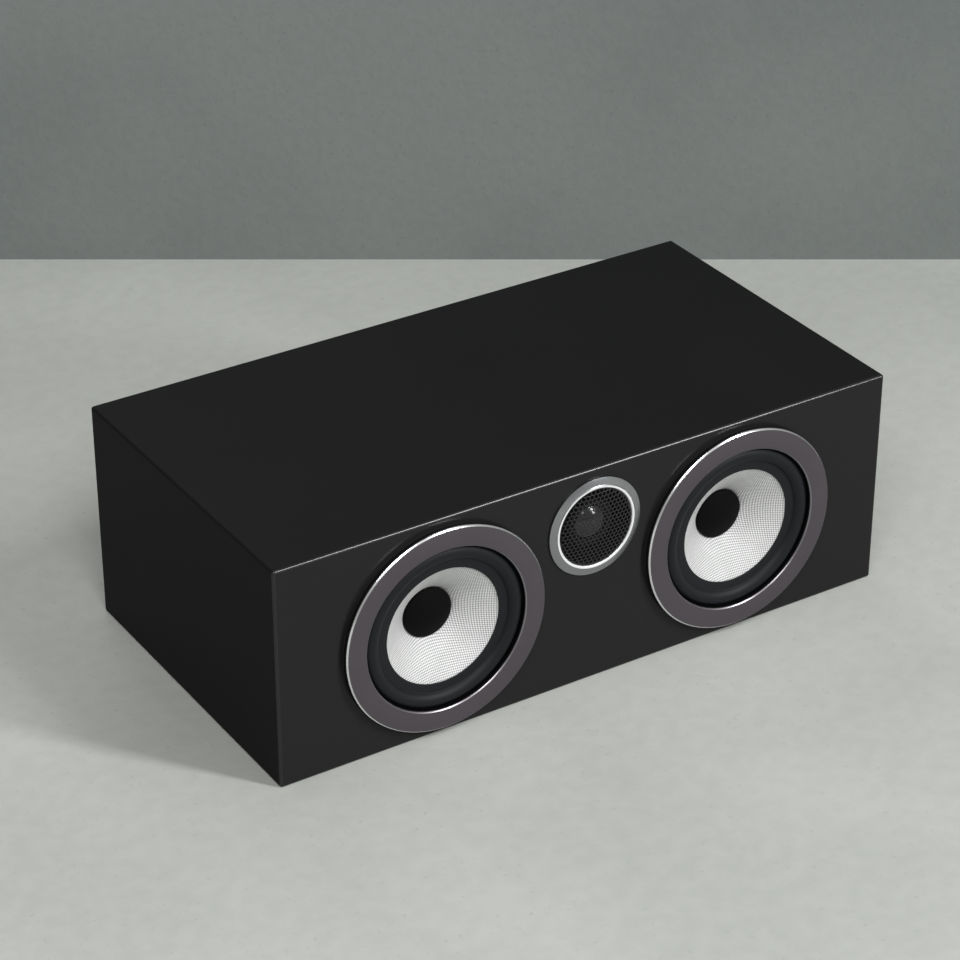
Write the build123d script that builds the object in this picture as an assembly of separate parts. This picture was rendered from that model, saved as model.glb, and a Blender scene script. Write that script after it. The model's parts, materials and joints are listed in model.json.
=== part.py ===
"""Two-way centre channel loudspeaker, in millimetres, +Z up.

The origin is the middle of the cabinet's underside and the baffle faces -Y. A driver is drawn about the Y
axis with its depth counted from the baffle's face, a piece of the back with its reach counted from the back.
"""
import os
from math import cos, radians, sin, sqrt

from build123d import *

# Cabinet
CABINET_WIDTH = 480.0
CABINET_HEIGHT = 163.0
CABINET_DEPTH = 252.0
WALL = 18.0
BAFFLE_THICKNESS = 25.0
REAR_THICKNESS = 18.0
EDGE_RADIUS = 2.0
BRACE_THICKNESS = 12.0
BRACE_MARGIN = 26.0
BRACE_CORNER = 12.0
BRACE_GAP = 1.0
PAD_THICKNESS = 15.0
PAD_END_MARGIN = 10.0
PAD_EDGE_MARGIN = 5.0
GRILLE_MAGNET_RADIUS = 5.0
GRILLE_MAGNET_THICKNESS = 4.0
GRILLE_MAGNET_INSET = 14.0

# Woofers: what shows
WOOFER_SPACING = 234.0
RING_RADIUS = 75.5
RING_OPENING = 60.2
RING_THICKNESS = 2.0
RING_OUTER_CHAMFER = 1.0
RING_INNER_CHAMFER = 0.8
RING_OVERHANG = 0.3
FLANGE_THICKNESS = 3.0
GASKET_THICKNESS = 1.0
SURROUND_THICKNESS = 1.0
SURROUND_SEAT = 0.5
ROLL_INSET = 0.7
ROLL_WIDTH = 10.0
ROLL_RISE = 3.6
LIP_WIDTH = 6.9
CONE_DEPTH = 20.5
CONE_FLARE = 1.6
CONE_THICKNESS = 0.9
CONE_RIM_INSET = 1.0
NECK_COLLAR_WALL = 0.7
NECK_COLLAR_LENGTH = 3.5
PLUG_SETBACK = 2.0
PLUG_RISE = 3.5
PLUG_LIFT = 0.6
PLUG_STEM_LENGTH = 8.0

# Woofers: chassis and motor
CLAMP_WIDTH = 4.3
SEAT_WALL = 1.8
BASKET_WALL = 3.3
BASKET_FLOOR = 3.0
BASKET_MARGIN = 0.7
BASKET_BASE_MARGIN = 5.0
BASKET_FOOT_INSET = 2.0
FLOOR_HOLE_MARGIN = 5.0
WINDOW_COUNT = 6
WINDOW_ANGLE = 40.0
WINDOW_FRONT_BAND = 3.5
WINDOW_SHELF_BAND = 3.0
SHELF_WIDTH = 5.5
SHELF_RISE = 6.0
COIL_RADIUS = 17.7
COIL_LEAD_IN = 0.5
FORMER_THICKNESS = 0.3
WINDING_THICKNESS = 0.5
WINDING_HEIGHT = 12.0
COIL_CLEARANCE = 0.5
MOTOR_SETBACK = 15.0
TOP_PLATE_THICKNESS = 6.0
TOP_PLATE_RADIUS = 45.0
MAGNET_THICKNESS = 16.0
MAGNET_RADIUS = 46.0
MAGNET_BORE = 26.0
YOKE_THICKNESS = 6.0
YOKE_RADIUS = 44.0
POLE_VENT = 5.0
SPIDER_WAVES = 4
SPIDER_RISE = 0.7
SPIDER_THICKNESS = 0.5
SPIDER_CUFF = 2.0
SPIDER_LANDING = 1.0
WOOFER_SCREWS = 6
WOOFER_SCREW_RADIUS = 1.9
WOOFER_SCREW_LENGTH = 20.0
STRIP_GAP = 0.5
STRIP_WIDTH = 10.0
STRIP_HEIGHT = 18.0
STRIP_THICKNESS = 1.6
TAG_LENGTH = 6.0
TAG_WIDTH = 4.8
TAG_THICKNESS = 0.8
TAG_SPACING = 12.0

# Tweeter
TWEETER_DROP = 43.3
TWEETER_RING_RADIUS = 36.0
TWEETER_RING_EDGE = 1.4
TWEETER_RING_RISE = 2.8
TWEETER_RING_OVERLAP = 1.4
TWEETER_LIP_WIDTH = 2.3
TWEETER_LIP_STEP = 0.4
TWEETER_LIP_CHAMFER = 0.5
TWEETER_OPENING = 28.7
MESH_THICKNESS = 0.6
MESH_SETBACK = 0.8
MESH_PITCH = 3.15
MESH_HOLE = 2.35
MESH_SEAT = 1.1
MESH_PLAY = 0.15
MESH_RIM = 0.4
TWEETER_FLANGE_THICKNESS = 3.0
REBATE_PLAY = 0.4
BARREL_WALL = 4.0
BARREL_DEPTH = 4.6
BARREL_PLAY = 4.5
DOME_RADIUS = 12.6
DOME_RISE = 5.2
DOME_SEAT = 4.6
DOME_SEAT_THICKNESS = 2.8
DOME_THICKNESS = 0.4
DOME_LIP = 0.05
DOME_ROLL_WIDTH = 2.0
DOME_ROLL_RISE = 0.8
DOME_FLANGE_WIDTH = 2.0
DISH_STEP = 0.6
TWEETER_FORMER = 0.3
TWEETER_WINDING = 0.4
TWEETER_COIL_PLAY = 0.5
TWEETER_POLE_PLAY = 0.35
TWEETER_COIL_DROP = 0.2
TWEETER_YOKE_RADIUS = 20.0
TWEETER_PLATE_SETBACK = 0.6
TWEETER_PLATE_THICKNESS = 3.0
TWEETER_PLATE_OVERHANG = 0.5
TWEETER_MAGNET_THICKNESS = 6.0
TWEETER_YOKE_FLOOR = 4.0
TWEETER_VENT = 4.0
TUBE_LENGTH = 80.0
TUBE_TIP = 8.0
TUBE_WALL = 1.5
TUBE_CHAMFER = 2.0
TWEETER_SCREWS = 3
TWEETER_SCREW_ANGLE = 90.0
TWEETER_SCREW_RADIUS = 1.4
TWEETER_SCREW_LENGTH = 14.0

# Back
PORT_BORE = 24.0
PORT_WALL = 2.5
PORT_FLARE = 14.0
PORT_INNER_FLARE = 7.0
PORT_LENGTH = 110.0
PORT_FLANGE = 5.0
PORT_PLAY = 0.3
PLATE_WIDTH = 100.0
PLATE_HEIGHT = 56.0
PLATE_THICKNESS = 4.0
PLATE_CORNER = 10.0
PLATE_EDGE = 1.2
PLATE_OVERLAP_X = 17.0
PLATE_OVERLAP_Z = 11.0
PLATE_WINDOW_CORNER = 8.0
PLATE_SCREW_INSET = 8.0
PLATE_SCREW_RADIUS = 1.6
PLATE_SCREW_LENGTH = 14.0
POST_SPACING = 40.0
POST_BOSS = 2.0
POST_BOSS_MARGIN = 2.0
POST_BASE = 2.0
POST_RADIUS = 4.0
POST_SHANK = 3.0
POST_TAIL_INSET = 6.0
POST_PROUD = 0.5
POST_CHAMFER = 0.6
SOCKET_RADIUS = 2.0
SOCKET_DEPTH = 15.5
WIRE_HOLE = 1.75
WIRE_HOLE_LIFT = 0.5
NUT_RADIUS = 6.0
NUT_THICKNESS = 4.0
COLLAR_THICKNESS = 1.5
COLLAR_RADIUS = 7.0
KNOB_RADIUS = 8.5
KNOB_LENGTH = 20.0
KNOB_CHAMFER = 1.2
KNOB_FLUTES = 12
FLUTE_RADIUS = 1.3
FLUTE_OFFSET = 0.4
FLUTE_START = 3.5

# Crossover
BOARD_LENGTH = 100.0
BOARD_THICKNESS = 1.6
BOARD_SIDE_GAP = 4.0
BOARD_REAR_GAP = 23.0
STANDOFF = 6.0
STANDOFF_RADIUS = 3.0
STANDOFF_INSET_X = 4.0
STANDOFF_INSET_Y = 15.0
COLUMN = 18.0
REAR_ROW = 22.0
SMALL_COIL_ROW = -8.0
SMALL_CAN_ROW = -14.0
RESISTOR_ROW = -28.0
LAST_ROW = -38.0
BIG_COIL_RADIUS = 17.0
BIG_COIL_BORE = 7.0
BIG_COIL_HEIGHT = 14.0
SMALL_COIL_RADIUS = 12.0
SMALL_COIL_BORE = 5.0
SMALL_COIL_HEIGHT = 10.0
CAN_LENGTH = 30.0
BIG_CAN_RADIUS = 10.0
SMALL_CAN_RADIUS = 8.0
RESISTOR_LENGTH = 22.0
RESISTOR_WIDTH = 9.0
LEAD_RADIUS = 1.8
LEAD_BEND = 8.0
LEAD_INSET = 5.0
LEAD_GAP = 0.3

# Fits
GLUE_LINE = 0.1
RUNNING_FIT = 0.06
SCREW_PLAY = 0.1
LOOSE_FIT = 0.5
SCREW_HEAD = 1.8
CUT_PAST = 1.0

# Cabinet, worked out
FRONT_Y = -CABINET_DEPTH / 2
REAR_Y = CABINET_DEPTH / 2
BAFFLE_BACK_Y = FRONT_Y + BAFFLE_THICKNESS
INNER_REAR_Y = REAR_Y - REAR_THICKNESS
INNER_WIDTH = CABINET_WIDTH - 2 * WALL
INNER_HEIGHT = CABINET_HEIGHT - 2 * WALL
INNER_DEPTH = INNER_REAR_Y - BAFFLE_BACK_Y
MID_Z = CABINET_HEIGHT / 2
WOOFER_X = WOOFER_SPACING / 2
TWEETER_Z = CABINET_HEIGHT - TWEETER_DROP
SIDES = {"left": -1, "right": 1}

# Woofer depths, worked out
GASKET_FRONT = -GASKET_THICKNESS
FLANGE_FRONT = GASKET_FRONT - FLANGE_THICKNESS
RING_FRONT = FLANGE_FRONT - RING_THICKNESS
SURROUND_FRONT = SURROUND_SEAT - SURROUND_THICKNESS
STEP_BACK = SURROUND_SEAT + BASKET_FLOOR
NECK_DEPTH = SURROUND_SEAT + CONE_DEPTH
MOTOR_FRONT = NECK_DEPTH + MOTOR_SETBACK
FLOOR_FRONT = MOTOR_FRONT - BASKET_FLOOR
SHELF_DEPTH = FLOOR_FRONT - SHELF_RISE
PLATE_BACK = MOTOR_FRONT + TOP_PLATE_THICKNESS
MAGNET_BACK = PLATE_BACK + MAGNET_THICKNESS
YOKE_BACK = MAGNET_BACK + YOKE_THICKNESS
WINDING_BACK = MOTOR_FRONT + (TOP_PLATE_THICKNESS + WINDING_HEIGHT) / 2
WINDING_FRONT = WINDING_BACK - WINDING_HEIGHT

# Woofer radii, worked out
ROLL_OUTER = RING_OPENING - ROLL_INSET
ROLL_INNER = ROLL_OUTER - ROLL_WIDTH
CONE_EDGE = ROLL_INNER - LIP_WIDTH
CONE_RIM = ROLL_INNER - CONE_RIM_INSET
SURROUND_EDGE = RING_OPENING + CLAMP_WIDTH
POCKET = SURROUND_EDGE + 2 * GLUE_LINE
STEP = POCKET + SEAT_WALL
FLANGE_RADIUS = RING_RADIUS - RING_OVERHANG
BASKET_TOP = RING_OPENING + BASKET_MARGIN
BASE_RADIUS = TOP_PLATE_RADIUS + BASKET_BASE_MARGIN
BASKET_FOOT = BASE_RADIUS - BASKET_FOOT_INSET
FORMER_OUTER = COIL_RADIUS + FORMER_THICKNESS
WINDING_OUTER = FORMER_OUTER + WINDING_THICKNESS
FLOOR_HOLE = WINDING_OUTER + FLOOR_HOLE_MARGIN
NECK_RADIUS = FORMER_OUTER + GLUE_LINE
PLUG_STEM = COIL_RADIUS - GLUE_LINE
PLUG_BACK = NECK_DEPTH - PLUG_LIFT
WOOFER_HOLE = BASKET_TOP + LOOSE_FIT
SCREW_CIRCLE = (STEP + RING_RADIUS) / 2
SHELF_SHARE = (SHELF_DEPTH - STEP_BACK) / (FLOOR_FRONT - STEP_BACK)
SHELF_WALL = BASKET_TOP - BASKET_WALL - SHELF_SHARE * (BASKET_TOP - BASKET_FOOT)
SHELF_INNER = SHELF_WALL - SHELF_WIDTH
STRIP_X = TOP_PLATE_RADIUS + STRIP_GAP + STRIP_WIDTH / 2
BRACE_X = WOOFER_X - WOOFER_HOLE - BRACE_GAP - BRACE_THICKNESS / 2

# Tweeter, worked out
MESH_FRONT = MESH_SETBACK - TWEETER_RING_RISE
MESH_BACK = MESH_FRONT + MESH_THICKNESS
MESH_RADIUS = TWEETER_OPENING - MESH_PLAY
MESH_SEAT_RADIUS = TWEETER_OPENING - MESH_SEAT
TWEETER_FLANGE = TWEETER_RING_RADIUS - TWEETER_RING_OVERLAP
TWEETER_REBATE = TWEETER_FLANGE + REBATE_PLAY
TWEETER_BARREL = TWEETER_YOKE_RADIUS + BARREL_WALL
TWEETER_HOLE = TWEETER_BARREL + BARREL_PLAY
DOME_BACK = DOME_SEAT + DOME_THICKNESS
DOME_ROLL_INNER = DOME_RADIUS + GLUE_LINE + DOME_LIP
DOME_ROLL_OUTER = DOME_ROLL_INNER + DOME_ROLL_WIDTH
DOME_SURROUND_EDGE = DOME_ROLL_OUTER + DOME_FLANGE_WIDTH
TWEETER_YOKE_FRONT = DOME_SEAT + DOME_SEAT_THICKNESS
TWEETER_BODY_BACK = TWEETER_YOKE_FRONT + BARREL_DEPTH
TWEETER_PLATE_FRONT = TWEETER_YOKE_FRONT + TWEETER_PLATE_SETBACK
TWEETER_PLATE_BACK = TWEETER_PLATE_FRONT + TWEETER_PLATE_THICKNESS
TWEETER_MAGNET_BACK = TWEETER_PLATE_BACK + TWEETER_MAGNET_THICKNESS
TWEETER_YOKE_BACK = TWEETER_MAGNET_BACK + TWEETER_YOKE_FLOOR
TWEETER_COIL_INNER = DOME_RADIUS - TWEETER_FORMER
TWEETER_COIL_OUTER = DOME_RADIUS + TWEETER_WINDING
TWEETER_GAP = TWEETER_COIL_OUTER + TWEETER_COIL_PLAY
TWEETER_POLE = TWEETER_COIL_INNER - TWEETER_POLE_PLAY
TWEETER_SCREW_CIRCLE = (TWEETER_HOLE + TWEETER_FLANGE) / 2

# Back, worked out
PORT_X = WOOFER_X
PORT_OUTER = PORT_BORE + PORT_WALL
PORT_RIM = PORT_BORE + PORT_FLARE
PORT_EDGE = PORT_RIM + PORT_FLANGE
PORT_HOLE = PORT_RIM + PORT_PLAY
BOSS_FACE = PLATE_THICKNESS + POST_BOSS
POST_FACE = BOSS_FACE + POST_BASE
COLLAR_FACE = POST_FACE + COLLAR_THICKNESS
KNOB_END = COLLAR_FACE + KNOB_LENGTH
KNOB_BORE = POST_RADIUS + RUNNING_FIT
POST_END = KNOB_END + POST_PROUD
POST_TAIL = POST_TAIL_INSET - REAR_THICKNESS

# Crossover, worked out
BOARD_WIDTH = 2 * (BRACE_X - BRACE_THICKNESS / 2 - BOARD_SIDE_GAP)
BOARD_TOP = WALL + STANDOFF + BOARD_THICKNESS
BOARD_Y = INNER_REAR_Y - BOARD_REAR_GAP - BOARD_LENGTH / 2


def turned(*corners):
    """Solid turned about Y from a closed outline of (radius, depth) corners."""
    return revolve(make_face(Polyline(*corners, close=True)), Axis.Y)


def turned_curve(edges):
    """Solid turned about Y from the edges of a closed (radius, depth) outline."""
    return revolve(make_face(edges), Axis.Y)


def drum(radius, near, far):
    """Solid cylinder along Y."""
    return turned((0, near), (radius, near), (radius, far), (0, far))


def tube(outer, inner, near, far):
    """Hollow cylinder along Y."""
    return turned((inner, near), (outer, near), (outer, far), (inner, far))


def block(x_size, y_size, z_size, x, y, z):
    """Box by its sizes and its middle."""
    return Pos(x, y, z) * Box(x_size, y_size, z_size)


def around(count, radius, first=0.0):
    """Places on a circle about Y."""
    angles = [radians(first + 360.0 * step / count) for step in range(count)]
    return [Pos(radius * cos(angle), 0, radius * sin(angle)) for angle in angles]


def group(shape, places):
    """The same piece at several places, kept as separate solids."""
    return Compound([solid for place in places for solid in (place * shape).solids()])


def screw(shank, length, front, play=0.0):
    """Countersunk screw with its head's face at a depth; play makes it the hole for one."""
    head = SCREW_HEAD * shank + play
    body = shank + play
    taper = head - body
    tip = front + length
    return turned((0, front), (head, front), (body, front + taper), (body, tip), (0, tip))


def shell(front_edges, thickness):
    """Thin turned shell: a front line of edges, from the axis outwards, and the same line set back."""
    back_edges = [Pos(0, thickness) * edge for edge in front_edges]
    inner = Line(front_edges[0] @ 0, back_edges[0] @ 0)
    outer = Line(front_edges[-1] @ 1, back_edges[-1] @ 1)
    return turned_curve([*front_edges, outer, *back_edges, inner])


def roll_shell(lip, inner, outer, edge, rise, seat, thickness):
    """Half-roll suspension: a lip, a roll that bulges forward and an outer flange, all of one thickness."""
    half = (outer - inner) / 2
    middle = (outer + inner) / 2
    plane = seat - thickness / 2
    radius = (half**2 + rise**2) / (2 * rise)
    centre = plane - rise + radius
    reach = 2 * (radius + thickness)
    hoop = Pos(middle, centre) * (Circle(radius + thickness / 2) - Circle(radius - thickness / 2))
    roll = hoop & Pos(middle, plane - reach / 2) * Rectangle(reach, reach)
    lip_strip = Pos((lip + inner) / 2, plane) * Rectangle(inner - lip, thickness)
    flange_strip = Pos((outer + edge) / 2, plane) * Rectangle(edge - outer, thickness)
    return revolve(roll + lip_strip + flange_strip, Axis.Y)


def rounded_cabinet():
    """The cabinet's outside as one block with softened edges."""
    whole = block(CABINET_WIDTH, CABINET_DEPTH, CABINET_HEIGHT, 0, 0, MID_Z)
    return fillet(whole.edges(), EDGE_RADIUS)


def wrap_panel(outside, *corners):
    """One mitred panel: an outline across the cabinet, run from the baffle to the back."""
    back = Plane((0, REAR_Y, 0), x_dir=(1, 0, 0), z_dir=(0, -1, 0))
    section = back * make_face(Polyline(*corners, close=True))
    return outside & extrude(section, amount=REAR_Y - BAFFLE_BACK_Y)


def brace(middle_y):
    """Upright board across the cabinet with one large window."""
    depth = INNER_DEPTH - 2 * BRACE_MARGIN
    height = INNER_HEIGHT - 2 * BRACE_MARGIN
    window = block(2 * BRACE_THICKNESS, depth, height, 0, middle_y, MID_Z)
    board = block(BRACE_THICKNESS, INNER_DEPTH, INNER_HEIGHT, 0, middle_y, MID_Z)
    return board - fillet(window.edges().filter_by(Axis.X), BRACE_CORNER)


def damping_pad(middle_y):
    """Slab of wadding for a side wall."""
    depth = INNER_DEPTH - 2 * PAD_END_MARGIN
    height = INNER_HEIGHT - 2 * PAD_EDGE_MARGIN
    return block(PAD_THICKNESS, depth, height, 0, middle_y, MID_Z)


def grille_magnet_places():
    """Four corners and the foot of the middle, clear of the walls glued to the baffle."""
    x = CABINET_WIDTH / 2 - WALL - GRILLE_MAGNET_INSET
    low = WALL + GRILLE_MAGNET_INSET
    high = CABINET_HEIGHT - WALL - GRILLE_MAGNET_INSET
    return [Pos(px, FRONT_Y, pz) for px, pz in ((-x, low), (x, low), (-x, high), (x, high), (0, low))]


def front_baffle(outside):
    """Baffle with a stepped hole for each driver, screw holes and pockets for the grille's magnets."""
    middle_y = FRONT_Y + BAFFLE_THICKNESS / 2
    baffle = outside & block(CABINET_WIDTH, BAFFLE_THICKNESS, CABINET_HEIGHT, 0, middle_y, MID_Z)
    through = BAFFLE_THICKNESS + CUT_PAST
    woofer_tip = FLANGE_FRONT + WOOFER_SCREW_LENGTH + CUT_PAST
    woofer_screw = drum(WOOFER_SCREW_RADIUS + SCREW_PLAY, -CUT_PAST, woofer_tip)
    woofer_cut = [
        drum(WOOFER_HOLE, -CUT_PAST, through) + drum(STEP + LOOSE_FIT, -CUT_PAST, STEP_BACK + LOOSE_FIT),
        *[place * woofer_screw for place in around(WOOFER_SCREWS, SCREW_CIRCLE)],
    ]
    for side in SIDES.values():
        baffle -= [Pos(side * WOOFER_X, FRONT_Y, MID_Z) * cut for cut in woofer_cut]
    tweeter_screw = drum(TWEETER_SCREW_RADIUS + SCREW_PLAY, CUT_PAST, TWEETER_SCREW_LENGTH + CUT_PAST)
    tweeter_cut = [
        drum(TWEETER_HOLE, -CUT_PAST, through) + drum(TWEETER_REBATE, -CUT_PAST, TWEETER_FLANGE_THICKNESS),
        *[place * tweeter_screw for place in tweeter_screw_spots()],
    ]
    baffle -= [Pos(0, FRONT_Y, TWEETER_Z) * cut for cut in tweeter_cut]
    pocket_front = BAFFLE_THICKNESS - GRILLE_MAGNET_THICKNESS
    pocket = drum(GRILLE_MAGNET_RADIUS + GLUE_LINE, pocket_front, through)
    baffle -= [place * pocket for place in grille_magnet_places()]
    return baffle


def plate_screw_places():
    """The terminal plate's four corners."""
    x = PLATE_WIDTH / 2 - PLATE_SCREW_INSET
    z = PLATE_HEIGHT / 2 - PLATE_SCREW_INSET
    return [Pos(px, REAR_Y, MID_Z + pz) for px in (-x, x) for pz in (-z, z)]


def rear_panel():
    """Back panel let into the wrap, with a round hole for the port and a window behind the terminal plate."""
    middle_y = REAR_Y - REAR_THICKNESS / 2
    panel = block(INNER_WIDTH, REAR_THICKNESS, INNER_HEIGHT, 0, middle_y, MID_Z)
    panel -= Pos(PORT_X, REAR_Y, MID_Z) * drum(PORT_HOLE, -REAR_THICKNESS - CUT_PAST, CUT_PAST)
    width = PLATE_WIDTH - 2 * PLATE_OVERLAP_X
    height = PLATE_HEIGHT - 2 * PLATE_OVERLAP_Z
    window = block(width, REAR_THICKNESS + 2 * CUT_PAST, height, 0, middle_y, MID_Z)
    panel -= fillet(window.edges().filter_by(Axis.Y), PLATE_WINDOW_CORNER)
    hole = drum(PLATE_SCREW_RADIUS + SCREW_PLAY, -PLATE_SCREW_LENGTH, CUT_PAST)
    panel -= [place * hole for place in plate_screw_places()]
    return panel


def cabinet_parts():
    """Six panels, two braces, damping pads and the magnets that hold a grille."""
    outside = rounded_cabinet()
    x_out = CABINET_WIDTH / 2
    x_in = x_out - WALL
    z_out = CABINET_HEIGHT
    z_in = z_out - WALL
    parts = {
        "top_panel": wrap_panel(outside, (-x_out, z_out), (x_out, z_out), (x_in, z_in), (-x_in, z_in)),
        "bottom_panel": wrap_panel(outside, (-x_out, 0), (x_out, 0), (x_in, WALL), (-x_in, WALL)),
        "left_side_panel": wrap_panel(outside, (-x_out, 0), (-x_out, z_out), (-x_in, z_in), (-x_in, WALL)),
        "right_side_panel": wrap_panel(outside, (x_out, 0), (x_out, z_out), (x_in, z_in), (x_in, WALL)),
        "front_baffle": front_baffle(outside),
        "rear_panel": rear_panel(),
    }
    middle_y = (BAFFLE_BACK_Y + INNER_REAR_Y) / 2
    for name, side in SIDES.items():
        parts[f"{name}_brace"] = Pos(side * BRACE_X, 0, 0) * brace(middle_y)
    pad_x = x_in - PAD_THICKNESS / 2
    parts["damping_pads"] = group(damping_pad(middle_y), [Pos(side * pad_x, 0, 0) for side in SIDES.values()])
    magnet = drum(GRILLE_MAGNET_RADIUS, BAFFLE_THICKNESS - GRILLE_MAGNET_THICKNESS, BAFFLE_THICKNESS)
    parts["grille_magnets"] = group(magnet, grille_magnet_places())
    return parts


def trim_ring():
    """Flat ring with a bright chamfer along each edge."""
    return turned(
        (RING_OPENING, FLANGE_FRONT),
        (RING_RADIUS, FLANGE_FRONT),
        (RING_RADIUS, RING_FRONT + RING_OUTER_CHAMFER),
        (RING_RADIUS - RING_OUTER_CHAMFER, RING_FRONT),
        (RING_OPENING + RING_INNER_CHAMFER, RING_FRONT),
        (RING_OPENING, RING_FRONT + RING_INNER_CHAMFER),
    )


def clamp_ring():
    """Ring that holds down the surround's edge, under the trim ring."""
    return tube(SURROUND_EDGE, RING_OPENING + 2 * GLUE_LINE, FLANGE_FRONT, SURROUND_FRONT)


def basket():
    """Cast chassis: a flange on the baffle, a seat for the surround, spokes, a spider shelf and a floor."""
    body = turned(
        (POCKET, FLANGE_FRONT),
        (FLANGE_RADIUS, FLANGE_FRONT),
        (FLANGE_RADIUS, GASKET_FRONT),
        (STEP, GASKET_FRONT),
        (STEP, STEP_BACK),
        (BASKET_TOP, STEP_BACK),
        (BASKET_FOOT, FLOOR_FRONT),
        (BASE_RADIUS, FLOOR_FRONT),
        (BASE_RADIUS, MOTOR_FRONT),
        (FLOOR_HOLE, MOTOR_FRONT),
        (FLOOR_HOLE, FLOOR_FRONT),
        (SHELF_INNER, FLOOR_FRONT),
        (SHELF_INNER, SHELF_DEPTH),
        (SHELF_WALL, SHELF_DEPTH),
        (BASKET_TOP - BASKET_WALL, STEP_BACK),
        (ROLL_OUTER - LOOSE_FIT, SURROUND_SEAT),
        (POCKET, SURROUND_SEAT),
    )
    near = STEP_BACK + WINDOW_FRONT_BAND
    far = SHELF_DEPTH - WINDOW_SHELF_BAND
    opening = Polyline((SHELF_INNER, near), (STEP, near), (STEP, far), (SHELF_INNER, far), close=True)
    window = revolve(make_face(opening), Axis.Y, revolution_arc=WINDOW_ANGLE)
    body -= [Rot(0, 360.0 * step / WINDOW_COUNT, 0) * window for step in range(WINDOW_COUNT)]
    hole = screw(WOOFER_SCREW_RADIUS, FLANGE_THICKNESS + CUT_PAST, FLANGE_FRONT, SCREW_PLAY)
    return body - [place * hole for place in around(WOOFER_SCREWS, SCREW_CIRCLE)]


def gasket():
    """Foam ring under the chassis flange."""
    hole = drum(WOOFER_SCREW_RADIUS + LOOSE_FIT, GASKET_FRONT - CUT_PAST, CUT_PAST)
    ring = tube(FLANGE_RADIUS - RING_OVERHANG, STEP + LOOSE_FIT, GASKET_FRONT, 0)
    return ring - [place * hole for place in around(WOOFER_SCREWS, SCREW_CIRCLE)]


def surround():
    """The woofer's rubber half-roll."""
    return roll_shell(
        CONE_EDGE, ROLL_INNER, ROLL_OUTER, SURROUND_EDGE, ROLL_RISE, SURROUND_SEAT, SURROUND_THICKNESS
    )


def cone():
    """Flared woven cone with a flat rim under the surround's lip and a collar on the coil's former."""
    neck = (NECK_RADIUS, NECK_DEPTH)
    edge = (CONE_EDGE, SURROUND_SEAT)
    run = CONE_EDGE - NECK_RADIUS
    length = sqrt(run**2 + CONE_DEPTH**2)
    middle_r = (NECK_RADIUS + CONE_EDGE) / 2 - CONE_FLARE * CONE_DEPTH / length
    middle_d = (NECK_DEPTH + SURROUND_SEAT) / 2 - CONE_FLARE * run / length
    flare = ThreePointArc(neck, (middle_r, middle_d), edge)
    rim = Line(edge, (CONE_RIM, SURROUND_SEAT))
    collar_back = NECK_DEPTH + NECK_COLLAR_LENGTH
    collar = tube(NECK_RADIUS + NECK_COLLAR_WALL, NECK_RADIUS, NECK_DEPTH, collar_back)
    return shell([flare, rim], CONE_THICKNESS) + collar


def plug():
    """Domed plug whose stem stands in the coil's former."""
    edge_depth = NECK_DEPTH - PLUG_SETBACK
    head = FORMER_OUTER
    apex = edge_depth - PLUG_RISE
    radius = (head**2 + PLUG_RISE**2) / (2 * PLUG_RISE)
    middle_r = head / 2
    middle = (middle_r, apex + radius - sqrt(radius**2 - middle_r**2))
    stem_back = NECK_DEPTH + PLUG_STEM_LENGTH
    dome = ThreePointArc((0, apex), middle, (head, edge_depth))
    sides = Polyline(
        (head, edge_depth),
        (head, PLUG_BACK),
        (PLUG_STEM, PLUG_BACK),
        (PLUG_STEM, stem_back),
        (0, stem_back),
        (0, apex),
    )
    return turned_curve([dome, *sides.edges()])


def spider():
    """Corrugated cloth ring from the former to the chassis shelf."""
    plane = SHELF_DEPTH - SPIDER_THICKNESS
    first = NECK_RADIUS + SPIDER_CUFF
    last = SHELF_INNER - SPIDER_LANDING
    half_wave = (last - first) / (2 * SPIDER_WAVES)
    edges = [Line((NECK_RADIUS, plane), (first, plane))]
    for step in range(2 * SPIDER_WAVES):
        near = first + step * half_wave
        bulge = plane + (SPIDER_RISE if step % 2 else -SPIDER_RISE)
        edges.append(ThreePointArc((near, plane), (near + half_wave / 2, bulge), (near + half_wave, plane)))
    edges.append(Line((last, plane), (SHELF_WALL - LOOSE_FIT, plane)))
    return shell(edges, SPIDER_THICKNESS)


def voice_coil():
    """Former with the winding at its back end."""
    front = NECK_DEPTH - COIL_LEAD_IN
    return turned(
        (COIL_RADIUS, front),
        (FORMER_OUTER, front),
        (FORMER_OUTER, WINDING_FRONT),
        (WINDING_OUTER, WINDING_FRONT),
        (WINDING_OUTER, WINDING_BACK),
        (COIL_RADIUS, WINDING_BACK),
    )


def yoke():
    """Back plate with its vented pole."""
    pole = COIL_RADIUS - COIL_CLEARANCE
    return turned(
        (POLE_VENT, MOTOR_FRONT),
        (pole, MOTOR_FRONT),
        (pole, MAGNET_BACK),
        (YOKE_RADIUS, MAGNET_BACK),
        (YOKE_RADIUS, YOKE_BACK),
        (POLE_VENT, YOKE_BACK),
    )


def tag_strip():
    """Solder tags on a fibre strip, drawn on the -X side of the chassis floor."""
    strip_y = MOTOR_FRONT + STRIP_THICKNESS / 2
    strip = block(STRIP_WIDTH, STRIP_THICKNESS, STRIP_HEIGHT, -STRIP_X, strip_y, 0)
    tag_x = STRIP_X + STRIP_WIDTH / 2
    tag_y = MOTOR_FRONT + STRIP_THICKNESS + TAG_THICKNESS / 2
    for z in (-TAG_SPACING / 2, TAG_SPACING / 2):
        strip += block(TAG_LENGTH, TAG_THICKNESS, TAG_WIDTH, -tag_x, tag_y, z)
    return strip


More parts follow.
